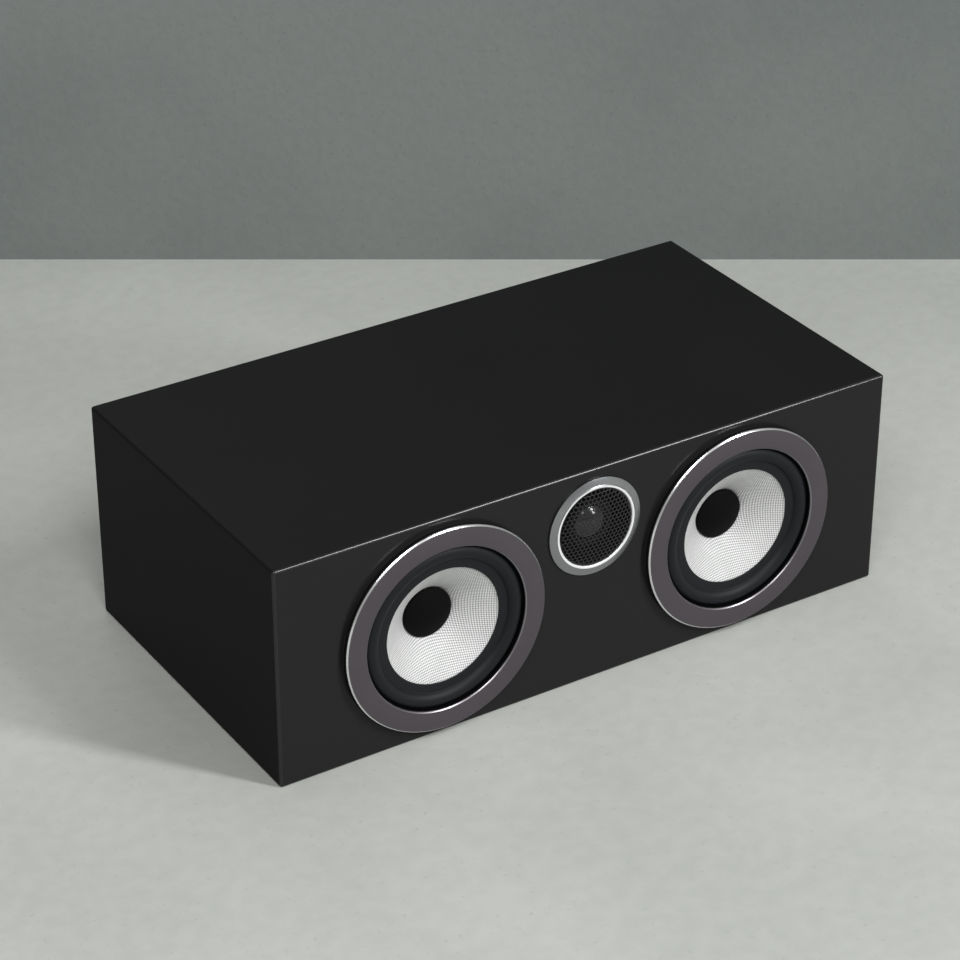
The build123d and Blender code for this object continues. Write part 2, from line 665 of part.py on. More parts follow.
def woofer_parts():
    """Both woofers, piece by piece."""
    pieces = {
        "trim_ring": trim_ring(),
        "clamp_ring": clamp_ring(),
        "basket": basket(),
        "surround": surround(),
        "cone": cone(),
        "plug": plug(),
        "spider": spider(),
        "voice_coil": voice_coil(),
        "top_plate": tube(TOP_PLATE_RADIUS, WINDING_OUTER + COIL_CLEARANCE, MOTOR_FRONT, PLATE_BACK),
        "magnet": tube(MAGNET_RADIUS, MAGNET_BORE, PLATE_BACK, MAGNET_BACK),
        "yoke": yoke(),
    }
    places = {name: Pos(side * WOOFER_X, FRONT_Y, MID_Z) for name, side in SIDES.items()}
    parts = {}
    for name, place in places.items():
        for piece, shape in pieces.items():
            parts[f"{name}_{piece}"] = place * shape
    parts["woofer_gaskets"] = group(gasket(), places.values())
    fastener = screw(WOOFER_SCREW_RADIUS, WOOFER_SCREW_LENGTH, FLANGE_FRONT)
    circle = around(WOOFER_SCREWS, SCREW_CIRCLE)
    parts["woofer_screws"] = group(fastener, [place * spot for place in places.values() for spot in circle])
    turn = {"left": Rot(0, 180, 0), "right": Rot(0, 0, 0)}
    parts["woofer_tag_strips"] = group(tag_strip(), [places[name] * turn[name] for name in SIDES])
    return parts


def tweeter_screw_spots():
    """Screws of the tweeter's flange, one at the top."""
    return around(TWEETER_SCREWS, TWEETER_SCREW_CIRCLE, TWEETER_SCREW_ANGLE)


def tweeter_ring():
    """Silver ring that rises to a polished lip, with a seat for the mesh inside."""
    lip = TWEETER_OPENING + TWEETER_LIP_WIDTH
    front = -TWEETER_RING_RISE
    return turned(
        (TWEETER_RING_RADIUS, 0),
        (TWEETER_RING_RADIUS, -TWEETER_RING_EDGE),
        (lip, front + TWEETER_LIP_STEP),
        (lip - TWEETER_LIP_STEP, front),
        (TWEETER_OPENING + TWEETER_LIP_CHAMFER, front),
        (TWEETER_OPENING, front + TWEETER_LIP_CHAMFER),
        (TWEETER_OPENING, MESH_BACK),
        (MESH_SEAT_RADIUS, MESH_BACK),
        (MESH_SEAT_RADIUS, 0),
    )


def mesh_holes():
    """Centres of the mesh's holes: a triangular grid cut off at the rim."""
    reach = MESH_SEAT_RADIUS - MESH_RIM - MESH_HOLE / sqrt(3)
    row_step = MESH_PITCH * sqrt(3) / 2
    rows = int(reach / row_step)
    columns = int(reach / MESH_PITCH) + 1
    centres = []
    for row in range(-rows, rows + 1):
        shift = MESH_PITCH / 2 if row % 2 else 0.0
        for column in range(-columns, columns + 1):
            x = column * MESH_PITCH + shift
            z = row * row_step
            if x**2 + z**2 <= reach**2:
                centres.append((x, z))
    return centres


def tweeter_mesh():
    """Flat disc pierced with six-sided holes."""
    corner = MESH_HOLE / sqrt(3)
    angles = [radians(90.0 + 60.0 * step) for step in range(6)]
    holes = []
    for x, y in mesh_holes():
        corners = [(x + corner * cos(angle), y + corner * sin(angle)) for angle in angles]
        holes.append(Wire(Polyline(*corners, close=True).edges()))
    disc = Face(Wire(Circle(MESH_RADIUS).edges()), holes)
    return Pos(0, MESH_BACK, 0) * (Plane.XZ * extrude(disc, amount=MESH_THICKNESS))


def tweeter_body():
    """Moulded body: a flange in the baffle's rebate, a shallow dish and a socket for the motor."""
    socket = TWEETER_YOKE_RADIUS + GLUE_LINE
    pocket = DOME_SURROUND_EDGE + GLUE_LINE
    body = turned(
        (MESH_SEAT_RADIUS, 0),
        (TWEETER_FLANGE, 0),
        (TWEETER_FLANGE, TWEETER_FLANGE_THICKNESS),
        (TWEETER_BARREL, TWEETER_FLANGE_THICKNESS),
        (TWEETER_BARREL, TWEETER_BODY_BACK),
        (socket, TWEETER_BODY_BACK),
        (socket, TWEETER_YOKE_FRONT),
        (TWEETER_GAP, TWEETER_YOKE_FRONT),
        (TWEETER_GAP, DOME_SEAT),
        (pocket, DOME_SEAT),
        (pocket, DOME_SEAT - DISH_STEP),
    )
    hole = screw(TWEETER_SCREW_RADIUS, TWEETER_FLANGE_THICKNESS + CUT_PAST, 0, SCREW_PLAY)
    return body - [place * hole for place in tweeter_screw_spots()]


def tweeter_surround():
    """Narrow roll round the dome."""
    return roll_shell(
        DOME_RADIUS + GLUE_LINE,
        DOME_ROLL_INNER,
        DOME_ROLL_OUTER,
        DOME_SURROUND_EDGE,
        DOME_ROLL_RISE,
        DOME_SEAT,
        DOME_THICKNESS,
    )


def tweeter_dome():
    """Thin cap of a sphere."""
    radius = (DOME_RADIUS**2 + DOME_RISE**2) / (2 * DOME_RISE)
    apex = DOME_SEAT - DOME_RISE
    middle_r = DOME_RADIUS / 2
    middle = (middle_r, apex + radius - sqrt(radius**2 - middle_r**2))
    return shell([ThreePointArc((0, apex), middle, (DOME_RADIUS, DOME_SEAT))], DOME_THICKNESS)


def tweeter_coil():
    """Former under the dome's edge with its winding in the gap."""
    winding_front = TWEETER_PLATE_FRONT + TWEETER_COIL_DROP
    winding_back = TWEETER_PLATE_BACK + TWEETER_COIL_DROP
    return turned(
        (TWEETER_COIL_INNER, DOME_BACK),
        (DOME_RADIUS, DOME_BACK),
        (DOME_RADIUS, winding_front),
        (TWEETER_COIL_OUTER, winding_front),
        (TWEETER_COIL_OUTER, winding_back),
        (TWEETER_COIL_INNER, winding_back),
    )


def tweeter_magnet():
    """Magnet under the pole plate, a little narrower than the plate."""
    radius = TWEETER_POLE - TWEETER_PLATE_OVERHANG
    return tube(radius, TWEETER_VENT, TWEETER_PLATE_BACK, TWEETER_MAGNET_BACK)


def tweeter_yoke():
    """Steel cup round the magnet, open to the tube through its floor."""
    return turned(
        (TWEETER_GAP, TWEETER_YOKE_FRONT),
        (TWEETER_YOKE_RADIUS, TWEETER_YOKE_FRONT),
        (TWEETER_YOKE_RADIUS, TWEETER_YOKE_BACK),
        (TWEETER_VENT, TWEETER_YOKE_BACK),
        (TWEETER_VENT, TWEETER_MAGNET_BACK),
        (TWEETER_GAP, TWEETER_MAGNET_BACK),
    )


def tweeter_tube():
    """Tapered tube that takes up the sound from the dome's back."""
    end = TWEETER_YOKE_BACK + TUBE_LENGTH
    inner_end = end - TUBE_WALL
    return turned(
        (TWEETER_YOKE_RADIUS - TUBE_WALL, TWEETER_YOKE_BACK),
        (TWEETER_YOKE_RADIUS, TWEETER_YOKE_BACK),
        (TUBE_TIP, end - TUBE_CHAMFER),
        (TUBE_TIP - TUBE_CHAMFER, end),
        (0, end),
        (0, inner_end),
        (TUBE_TIP - TUBE_CHAMFER, inner_end - TUBE_CHAMFER / 2),
    )


def tweeter_parts():
    """The tweeter, piece by piece."""
    pieces = {
        "tweeter_ring": tweeter_ring(),
        "tweeter_mesh": tweeter_mesh(),
        "tweeter_body": tweeter_body(),
        "tweeter_surround": tweeter_surround(),
        "tweeter_dome": tweeter_dome(),
        "tweeter_coil": tweeter_coil(),
        "tweeter_pole_plate": tube(TWEETER_POLE, TWEETER_VENT, TWEETER_PLATE_FRONT, TWEETER_PLATE_BACK),
        "tweeter_magnet": tweeter_magnet(),
        "tweeter_yoke": tweeter_yoke(),
        "tweeter_tube": tweeter_tube(),
    }
    place = Pos(0, FRONT_Y, TWEETER_Z)
    parts = {name: place * shape for name, shape in pieces.items()}
    fastener = screw(TWEETER_SCREW_RADIUS, TWEETER_SCREW_LENGTH, 0)
    parts["tweeter_screws"] = group(fastener, [place * spot for spot in tweeter_screw_spots()])
    return parts


def quarter_bend(centre, radius, start, end, side):
    """Quarter of a circle from one point to another, bulging to the axis; side is the way it runs along Y."""
    slant = radius * sqrt(0.5)
    return ThreePointArc(start, (centre[0] - slant, centre[1] + side * slant), end)


def port_tube():
    """Reflex port: a round tube flared at both ends, with a flange on the back of the cabinet."""
    mouth = (PORT_RIM, PORT_WALL - PORT_FLARE)
    inner_end = -PORT_LENGTH
    inner_rim = PORT_BORE + PORT_INNER_FLARE
    throat = (inner_rim, inner_end + PORT_INNER_FLARE)
    rim = Polyline((PORT_RIM, PORT_WALL), (PORT_EDGE, PORT_WALL), (PORT_EDGE, 0), (PORT_RIM, 0))
    flare = (PORT_BORE, mouth[1])
    flare_back = (PORT_OUTER, mouth[1])
    bell = (PORT_BORE, throat[1])
    bell_back = (PORT_OUTER, throat[1])
    lip = (inner_rim, inner_end)
    lip_back = (inner_rim, inner_end + PORT_WALL)
    edges = [
        quarter_bend(mouth, PORT_FLARE, flare, (PORT_RIM, PORT_WALL), 1),
        *rim.edges(),
        quarter_bend(mouth, PORT_FLARE - PORT_WALL, (PORT_RIM, 0), flare_back, 1),
        Line(flare_back, bell_back),
        quarter_bend(throat, PORT_INNER_FLARE - PORT_WALL, bell_back, lip_back, -1),
        Line(lip_back, lip),
        quarter_bend(throat, PORT_INNER_FLARE, lip, bell, -1),
        Line(bell, flare),
    ]
    return Pos(PORT_X, REAR_Y, MID_Z) * turned_curve(edges)


def post_places():
    """Positive on the left as the back is looked at, so on the +X side."""
    half = POST_SPACING / 2
    return {"positive": Pos(half, REAR_Y, MID_Z), "negative": Pos(-half, REAR_Y, MID_Z)}


def terminal_plate():
    """Moulded plate with a boss for each post and countersunk corners."""
    back = Plane((0, REAR_Y, MID_Z), x_dir=(-1, 0, 0), z_dir=(0, 1, 0))
    plate = extrude(back * RectangleRounded(PLATE_WIDTH, PLATE_HEIGHT, PLATE_CORNER), amount=PLATE_THICKNESS)
    plate = fillet(plate.faces().sort_by(Axis.Y)[-1].edges(), PLATE_EDGE)
    boss = drum(COLLAR_RADIUS + POST_BOSS_MARGIN, PLATE_THICKNESS - CUT_PAST, BOSS_FACE)
    hole = drum(POST_SHANK + SCREW_PLAY, -CUT_PAST, BOSS_FACE + CUT_PAST)
    for place in post_places().values():
        plate += place * boss
        plate -= place * hole
    socket = Rot(180, 0, 0) * screw(
        PLATE_SCREW_RADIUS, PLATE_THICKNESS + CUT_PAST, -PLATE_THICKNESS, SCREW_PLAY
    )
    return plate - [place * socket for place in plate_screw_places()]


def post():
    """Metal post: a shank through the plate, a base, a stem with a plug socket and a hole for wire."""
    body = turned(
        (0, POST_TAIL),
        (POST_SHANK, POST_TAIL),
        (POST_SHANK, BOSS_FACE),
        (COLLAR_RADIUS, BOSS_FACE),
        (COLLAR_RADIUS, POST_FACE),
        (POST_RADIUS, POST_FACE),
        (POST_RADIUS, POST_END - POST_CHAMFER),
        (POST_RADIUS - POST_CHAMFER, POST_END),
        (SOCKET_RADIUS, POST_END),
        (SOCKET_RADIUS, POST_END - SOCKET_DEPTH),
        (0, POST_END - SOCKET_DEPTH),
    )
    wire = Pos(0, COLLAR_FACE + WIRE_HOLE_LIFT + WIRE_HOLE, 0) * Cylinder(WIRE_HOLE, 3 * POST_RADIUS)
    return body - wire


def post_nut():
    """Six-sided nut on the shank, against the back of the plate."""
    outline = Plane((0, 0, 0), x_dir=(1, 0, 0), z_dir=(0, -1, 0)) * RegularPolygon(NUT_RADIUS, 6)
    hole = drum(POST_SHANK + RUNNING_FIT, -NUT_THICKNESS - CUT_PAST, CUT_PAST)
    return extrude(outline, amount=NUT_THICKNESS) - hole


def collar():
    """Clamp washer between the post's base and the knob."""
    return tube(COLLAR_RADIUS, KNOB_BORE, POST_FACE, COLLAR_FACE)


def knob():
    """Fluted knob that runs on the post's thread."""
    body = turned(
        (KNOB_BORE, COLLAR_FACE),
        (KNOB_RADIUS, COLLAR_FACE),
        (KNOB_RADIUS, KNOB_END - KNOB_CHAMFER),
        (KNOB_RADIUS - KNOB_CHAMFER, KNOB_END),
        (KNOB_BORE, KNOB_END),
    )
    flute = drum(FLUTE_RADIUS, COLLAR_FACE + FLUTE_START, KNOB_END + CUT_PAST)
    return body - [place * flute for place in around(KNOB_FLUTES, KNOB_RADIUS + FLUTE_OFFSET)]


def rear_parts():
    """Port and terminals."""
    places = post_places()
    fastener = Rot(180, 0, 0) * screw(PLATE_SCREW_RADIUS, PLATE_SCREW_LENGTH, -PLATE_THICKNESS)
    parts = {
        "port_tube": port_tube(),
        "terminal_plate": terminal_plate(),
        "terminal_screws": group(fastener, plate_screw_places()),
        "terminal_posts": group(post(), places.values()),
        "terminal_nuts": group(post_nut(), places.values()),
    }
    for name, place in places.items():
        parts[f"{name}_collar"] = place * collar()
        parts[f"{name}_knob"] = place * knob()
    return parts


def crossover_board():
    """Filter board on four standoffs, at the back of the cabinet's floor."""
    board = block(BOARD_WIDTH, BOARD_LENGTH, BOARD_THICKNESS, 0, BOARD_Y, BOARD_TOP - BOARD_THICKNESS / 2)
    x = BOARD_WIDTH / 2 - STANDOFF_INSET_X
    y = BOARD_LENGTH / 2 - STANDOFF_INSET_Y
    foot = Cylinder(STANDOFF_RADIUS, STANDOFF)
    return board + [Pos(px, BOARD_Y + py, WALL + STANDOFF / 2) * foot for px in (-x, x) for py in (-y, y)]


def on_board(shape, column, row, height):
    """A component standing on the board, given its own height."""
    return Pos(column, BOARD_Y + row, BOARD_TOP + height / 2) * shape


def inductor(radius, bore, height):
    """Flat coil of wire."""
    return Cylinder(radius, height) - Cylinder(bore, height)


def can(radius):
    """Capacitor that lies along the cabinet's depth."""
    return Rot(90, 0, 0) * Cylinder(radius, CAN_LENGTH)


def lead(*points):
    """Insulated lead along straight runs joined by bends."""
    path = FilletPolyline(*points, radius=LEAD_BEND)
    return sweep(Plane(origin=path @ 0, z_dir=path % 0) * Circle(LEAD_RADIUS), path=path)


def leads():
    """Leads from the posts to the board and from the board to each driver."""
    tag_x = WOOFER_X - STRIP_X
    tag_y = FRONT_Y + MOTOR_FRONT + STRIP_THICKNESS
    out_x = BOARD_WIDTH / 2 - LEAD_INSET
    out_y = BOARD_Y - BOARD_LENGTH / 2 + LEAD_INSET
    in_x = POST_SPACING / 2
    in_y = BOARD_Y + BOARD_LENGTH / 2 - LEAD_INSET
    low_z = TWEETER_Z - TWEETER_YOKE_RADIUS - LEAD_RADIUS - LEAD_GAP
    pieces = [lead((0, FRONT_Y + TWEETER_BODY_BACK, low_z), (0, out_y, low_z), (0, out_y, BOARD_TOP))]
    for side in SIDES.values():
        foot = (side * out_x, out_y, BOARD_TOP)
        turn = (side * out_x, out_y, MID_Z)
        corner = (side * tag_x, out_y, MID_Z)
        pieces.append(lead(foot, turn, corner, (side * tag_x, tag_y, MID_Z)))
        post_end = (side * in_x, REAR_Y + POST_TAIL, MID_Z)
        drop = (side * in_x, in_y, MID_Z)
        pieces.append(lead(post_end, drop, (side * in_x, in_y, BOARD_TOP)))
    return Compound([solid for piece in pieces for solid in piece.solids()])


def crossover_parts():
    """Filter board with its components, and the leads inside the cabinet."""
    big_coil = inductor(BIG_COIL_RADIUS, BIG_COIL_BORE, BIG_COIL_HEIGHT)
    small_coil = inductor(SMALL_COIL_RADIUS, SMALL_COIL_BORE, SMALL_COIL_HEIGHT)
    coils = [
        on_board(big_coil, -COLUMN, REAR_ROW, BIG_COIL_HEIGHT),
        on_board(small_coil, COLUMN, SMALL_COIL_ROW, SMALL_COIL_HEIGHT),
    ]
    cans = [
        on_board(can(BIG_CAN_RADIUS), COLUMN, REAR_ROW, 2 * BIG_CAN_RADIUS),
        on_board(can(SMALL_CAN_RADIUS), -COLUMN, SMALL_CAN_ROW, 2 * SMALL_CAN_RADIUS),
    ]
    resistor = Box(RESISTOR_LENGTH, RESISTOR_WIDTH, RESISTOR_WIDTH)
    resistors = [
        on_board(resistor, COLUMN, RESISTOR_ROW, RESISTOR_WIDTH),
        on_board(resistor, -COLUMN, LAST_ROW, RESISTOR_WIDTH),
    ]
    return {
        "crossover_board": crossover_board(),
        "inductors": Compound([solid for piece in coils for solid in piece.solids()]),
        "capacitors": Compound([solid for piece in cans for solid in piece.solids()]),
        "resistors": Compound([solid for piece in resistors for solid in piece.solids()]),
        "leads": leads(),
    }


def main():
    os.makedirs("parts", exist_ok=True)
    nodes = {**cabinet_parts(), **woofer_parts(), **tweeter_parts(), **rear_parts(), **crossover_parts()}
    for name, shape in nodes.items():
        export_step(shape, f"parts/{name}.step")
    print(f"{len(nodes)} nodes")


main()
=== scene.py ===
import json
import math

import bpy
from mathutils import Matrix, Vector
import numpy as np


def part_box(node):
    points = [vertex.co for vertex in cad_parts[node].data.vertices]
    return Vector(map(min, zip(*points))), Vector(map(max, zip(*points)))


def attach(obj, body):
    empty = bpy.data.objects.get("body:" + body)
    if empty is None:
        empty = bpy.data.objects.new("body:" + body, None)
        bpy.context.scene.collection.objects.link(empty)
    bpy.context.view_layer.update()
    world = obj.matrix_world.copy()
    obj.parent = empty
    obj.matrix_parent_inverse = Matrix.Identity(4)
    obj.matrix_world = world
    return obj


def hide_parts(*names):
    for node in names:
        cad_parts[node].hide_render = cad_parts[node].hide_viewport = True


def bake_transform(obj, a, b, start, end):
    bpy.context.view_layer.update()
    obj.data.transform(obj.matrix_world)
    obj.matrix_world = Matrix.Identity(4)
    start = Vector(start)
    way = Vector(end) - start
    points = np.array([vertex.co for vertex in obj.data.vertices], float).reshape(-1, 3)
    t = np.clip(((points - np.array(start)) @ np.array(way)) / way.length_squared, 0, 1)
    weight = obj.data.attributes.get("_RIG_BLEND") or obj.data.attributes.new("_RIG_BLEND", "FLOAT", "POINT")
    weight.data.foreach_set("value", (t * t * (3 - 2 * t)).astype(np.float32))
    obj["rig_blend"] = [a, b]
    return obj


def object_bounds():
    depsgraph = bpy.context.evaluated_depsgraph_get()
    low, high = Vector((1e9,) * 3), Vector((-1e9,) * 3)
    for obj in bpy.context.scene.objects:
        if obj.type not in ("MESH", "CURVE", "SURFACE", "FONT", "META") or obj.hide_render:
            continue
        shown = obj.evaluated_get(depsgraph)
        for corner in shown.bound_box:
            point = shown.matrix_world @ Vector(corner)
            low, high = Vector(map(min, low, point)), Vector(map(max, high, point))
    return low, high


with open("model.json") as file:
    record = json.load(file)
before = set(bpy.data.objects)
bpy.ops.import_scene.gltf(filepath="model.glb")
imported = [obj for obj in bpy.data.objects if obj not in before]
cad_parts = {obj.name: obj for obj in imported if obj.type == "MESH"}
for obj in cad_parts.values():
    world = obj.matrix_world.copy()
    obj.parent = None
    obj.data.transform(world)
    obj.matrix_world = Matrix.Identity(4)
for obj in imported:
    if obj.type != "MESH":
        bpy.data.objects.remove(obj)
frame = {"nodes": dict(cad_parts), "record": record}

bl_info = {
    "name": "Centre Channel Speaker",
    "version": (1, 0, 0),
    "blender": (4, 5, 0),
    "location": "View3D > Sidebar > Speaker",
    "description": "Models and finishes the pieces of a centre channel speaker and sets a stage",
    "category": "Object",
}

MM = 0.001
SIDES = ("left", "right")
TURN_SEGMENTS = 160
CUTTER_SEGMENTS = 24
SMOOTH_ANGLE = math.radians(35)
WELD = 0.002 * MM
EDGE_POLISH = 1.7 * MM
FRONT_SHEEN = 0.12
EDGE_SHEEN = 0.3
POLISHED_SHARE = 0.95
LATHE_LINES = 9000.0
GRAINS_TO_A_CLOUD = 40
COPPER_TINT = (0.72, 0.36, 0.18)
FORMER_TINT = (0.01, 0.008, 0.006)
WIRE_GAUGE = 0.7 * MM
SPIDER_TINT = (0.55, 0.38, 0.16)
SPIDER_PITCH = 0.9 * MM
FRONT_PLASTIC = (0.0022, 0.0022, 0.0022)
# Lighter black for the moulded pieces at the back: painted light, so they still show in the shade behind the
# speaker.
REAR_PLASTIC_PAINTED_LIGHTER = (0.014, 0.014, 0.0145)
CAD_BOX = [list(corner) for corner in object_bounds()]
BAFFLE_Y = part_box("front_baffle")[0].y
SLOT_OF_NODE = {entry["node"]: entry["material_slot"] for entry in frame["record"]["subparts"]}


def axis_of(node):
    """Where a round node's axis meets the baffle's face."""
    low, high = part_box(node)
    return Vector(((low.x + high.x) / 2, BAFFLE_Y, (low.z + high.z) / 2))


def radius_of(node):
    """Outside radius of a round node."""
    low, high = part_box(node)
    return (high.x - low.x) / 2


def depths_of(node):
    """Front and back of a node, counted back from the baffle's face."""
    low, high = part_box(node)
    return low.y - BAFFLE_Y, high.y - BAFFLE_Y


WOOFER_AXIS = {side: axis_of(f"{side}_trim_ring") for side in SIDES}
TWEETER_AXIS = axis_of("tweeter_ring")


def length(name, description, millimetres):
    """A size that a user may change, shown in the scene's length unit."""
    return bpy.props.FloatProperty(
        name=name, description=description, default=millimetres * MM, unit="LENGTH", precision=5
    )


def colour(name, description, red, green, blue):
    """A colour that a user may change."""
    return bpy.props.FloatVectorProperty(
        name=name, description=description, default=(red, green, blue), subtype="COLOR", min=0.0, max=1.0
    )


class WooferShape(bpy.types.PropertyGroup):
    """Turned sizes of a woofer's pieces, with depths counted back from the baffle's face."""

    opening: length("Ring opening", "Radius of the trim ring's opening", 60.2)
    outer_chamfer: length("Outer chamfer", "Width of the polished chamfer round the trim ring", 1.0)
    inner_chamfer: length("Inner chamfer", "Width of the polished chamfer in the ring's opening", 0.8)
    softening: length("Edge softening", "Rounding of the turned edges", 0.12)
    cone_edge: length("Cone edge", "Radius where the surround's lip begins", 42.6)
    cone_rim: length("Cone rim", "Radius of the cone's flat rim under the lip", 48.5)
    cone_seat: length("Cone seat", "Depth of the cone's rim", 0.5)
    cone_thickness: length("Cone thickness", "Thickness of the woven shell", 0.9)
    cone_flare: length("Cone flare", "How far the cone's line bulges forward", 1.6)
    neck: length("Cone neck", "Radius of the cone's neck", 18.1)
    collar: length("Neck collar", "Wall of the collar on the coil's former", 0.7)
    collar_length: length("Collar length", "Length of the collar behind the neck", 3.5)
    roll_inner: length("Roll inside", "Inner radius of the surround's roll", 49.5)
    roll_outer: length("Roll outside", "Outer radius of the surround's roll", 59.5)
    roll_rise: length("Roll rise", "Height of the surround's roll", 3.6)
    rubber: length("Rubber", "Thickness of the surround", 1.0)
    crease: length("Crease", "Rounding of the surround's creases", 0.7)
    plug_rise: length("Plug rise", "Height of the plug's middle over its edge", 3.5)
    plug_lip: length("Plug lip", "Straight edge of the plug's head", 1.4)
    plug_stem: length("Plug stem", "Radius of the plug's stem", 17.6)
    winding: length("Winding", "Length of wire wound on the coil's former", 12.3)
    spider_rise: length("Spider rise", "Height of the spider's waves", 0.7)
    spider_cuff: length("Spider cuff", "Flat ring of the spider beside the former", 2.0)
    spider_landing: length("Spider landing", "Flat ring of the spider on its shelf", 6.0)
    thread_pitch: length("Thread pitch", "Spacing of the cone's threads", 1.4)


class TweeterShape(bpy.types.PropertyGroup):
    """Sizes of the tweeter's pieces, with depths counted back from the baffle's face."""

    edge: length("Ring edge", "Height of the ring's outer edge", 1.4)
    lip: length("Lip", "Radius of the polished lip's foot", 31.0)
    lip_step: length("Lip step", "Slant at the lip's foot", 0.4)
    lip_chamfer: length("Lip chamfer", "Slant inside the lip", 0.5)
    polish: length("Polished width", "Width of the polished band round the opening", 1.75)
    opening: length("Opening", "Radius of the ring's opening", 28.7)
    seat: length("Mesh seat", "Inner radius of the ledge under the mesh", 27.6)
    softening: length("Edge softening", "Rounding of the turned edges", 0.12)
    pitch: length("Mesh pitch", "Spacing of the mesh's holes", 3.15)
    hole: length("Mesh hole", "Width of a hole across its flats", 2.7)
    sheet: length("Mesh sheet", "Thickness of the mesh", 0.3)
    bulge: length("Mesh bulge", "How far the mesh bulges forward", 4.0)
    rim: length("Mesh rim", "Width of the mesh's rim band", 0.95)
    rim_proud: length("Rim height", "How far the rim band stands above the mesh", 0.05)
    dome_radius: length("Dome radius", "Radius of the dome", 12.6)
    dome_seat: length("Dome seat", "Depth of the dome's edge", 4.6)
    dome_apex: length("Dome apex", "Depth of the dome's middle", -0.6)
    dome_wall: length("Dome wall", "Thickness of the dome", 0.4)
    roll_gap: length("Roll gap", "Glue line between the dome and its surround", 0.1)
    roll_foot: length("Roll foot", "Flat lip of the dome's surround", 0.05)
    roll_width: length("Roll width", "Width of the dome's surround", 2.0)
    roll_rise: length("Roll rise", "Height of the dome's surround", 0.8)


class TerminalShape(bpy.types.PropertyGroup):
    """Sizes of the pieces on the terminal plate."""

    bore: length("Knob bore", "Radius of the hole that runs on the post", 4.2)
    chamfer: length("Knob chamfer", "Slant round the knob's end", 1.2)
    flute: length("Flute", "Radius of a grip flute", 1.3)
    flute_offset: length("Flute offset", "How far a flute's middle lies outside the knob", 0.4)
    flute_start: length("Flute start", "Plain band between the collar and the flutes", 3.5)
    softening: length("Knob softening", "Rounding of the knob's edges", 0.25)
    screw_head: length("Screw head", "Radius of a screw's head", 2.88)
    screw_shank: length("Screw shank", "Radius of a screw's shank", 1.6)
    slot_length: length("Slot length", "Length of the screw's cross", 3.2)
    slot_width: length("Slot width", "Width of the screw's cross", 0.7)
    slot_depth: length("Slot depth", "Depth of the screw's cross", 1.0)


class Colours(bpy.types.PropertyGroup):
    """Colours of the finishes that show."""

    lacquer: colour("Lacquer", "Dull black of the cabinet", 0.0105, 0.0105, 0.0108)
    # Lighter than the lacquer: partly the satin finish, partly painted light for the light that falls on the
    # front.
    front: colour("Front", "Satin black of the cabinet's front", 0.0135, 0.0135, 0.0137)
    gunmetal: colour("Gunmetal", "Faces of the trim rings", 0.141, 0.124, 0.144)
    polish: colour("Polish", "Polished chamfers and lips", 0.92, 0.92, 0.94)
    silver: colour("Silver", "Blasted face of the tweeter's ring", 0.325, 0.33, 0.345)
    thread: colour("Thread", "Crowns of the cone's threads", 0.92, 0.92, 0.92)
    thread_shade: colour("Thread shade", "Gaps between the cone's threads", 0.12, 0.12, 0.125)
    rubber: colour("Rubber", "Surrounds of the woofers", 0.004, 0.005, 0.0072)
    dome: colour("Dome", "Metal dome of the tweeter", 0.12, 0.12, 0.124)
    mesh: colour("Mesh", "Mesh in front of the dome", 0.016, 0.016, 0.016)


class Stage(bpy.types.PropertyGroup):
    """Floor, wall, lamps and camera."""

    floor: colour("Floor", "Pale floor", 0.52, 0.535, 0.507)
    floor_shade: colour("Floor shade", "Darker patches of the floor", 0.44, 0.454, 0.426)
    wall: colour("Wall", "Grey wall", 0.215, 0.233, 0.226)
    wall_shade: colour("Wall shade", "Darker patches of the wall", 0.15, 0.167, 0.162)
    key_power: bpy.props.FloatProperty(
        name="Key lamp", description="Power of the large lamp", default=460.0, unit="POWER"
    )
    fill_power: bpy.props.FloatProperty(
        name="Fill lamp", description="Power of the lamp beside the camera", default=34.0, unit="POWER"
    )
    back_power: bpy.props.FloatProperty(
        name="Back lamp", description="Power of the lamp behind the speaker", default=10.0, unit="POWER"
    )
    sky: bpy.props.FloatProperty(
        name="Sky", description="Strength of the even light from all round", default=0.3
    )
    lens: bpy.props.FloatProperty(
        name="Lens", description="Focal length of the camera", default=116.75, unit="CAMERA"
    )


class Wire:
    """A shader socket that takes part in Python arithmetic."""

    def __init__(self, finish, socket):
        self.finish = finish
        self.socket = socket

    def math(self, operation, first, second=0.0):
        return self.finish.node("ShaderNodeMath", {"operation": operation}, {0: first, 1: second})

    def __add__(self, other):
        return self.math("ADD", self, other)

    def __sub__(self, other):
        return self.math("SUBTRACT", self, other)

    def __rsub__(self, other):
        return self.math("SUBTRACT", other, self)

    def __mul__(self, other):
        return self.math("MULTIPLY", self, other)

    def __truediv__(self, other):
        return self.math("DIVIDE", self, other)

    def __gt__(self, other):
        return self.math("GREATER_THAN", self, other)

    __radd__ = __add__


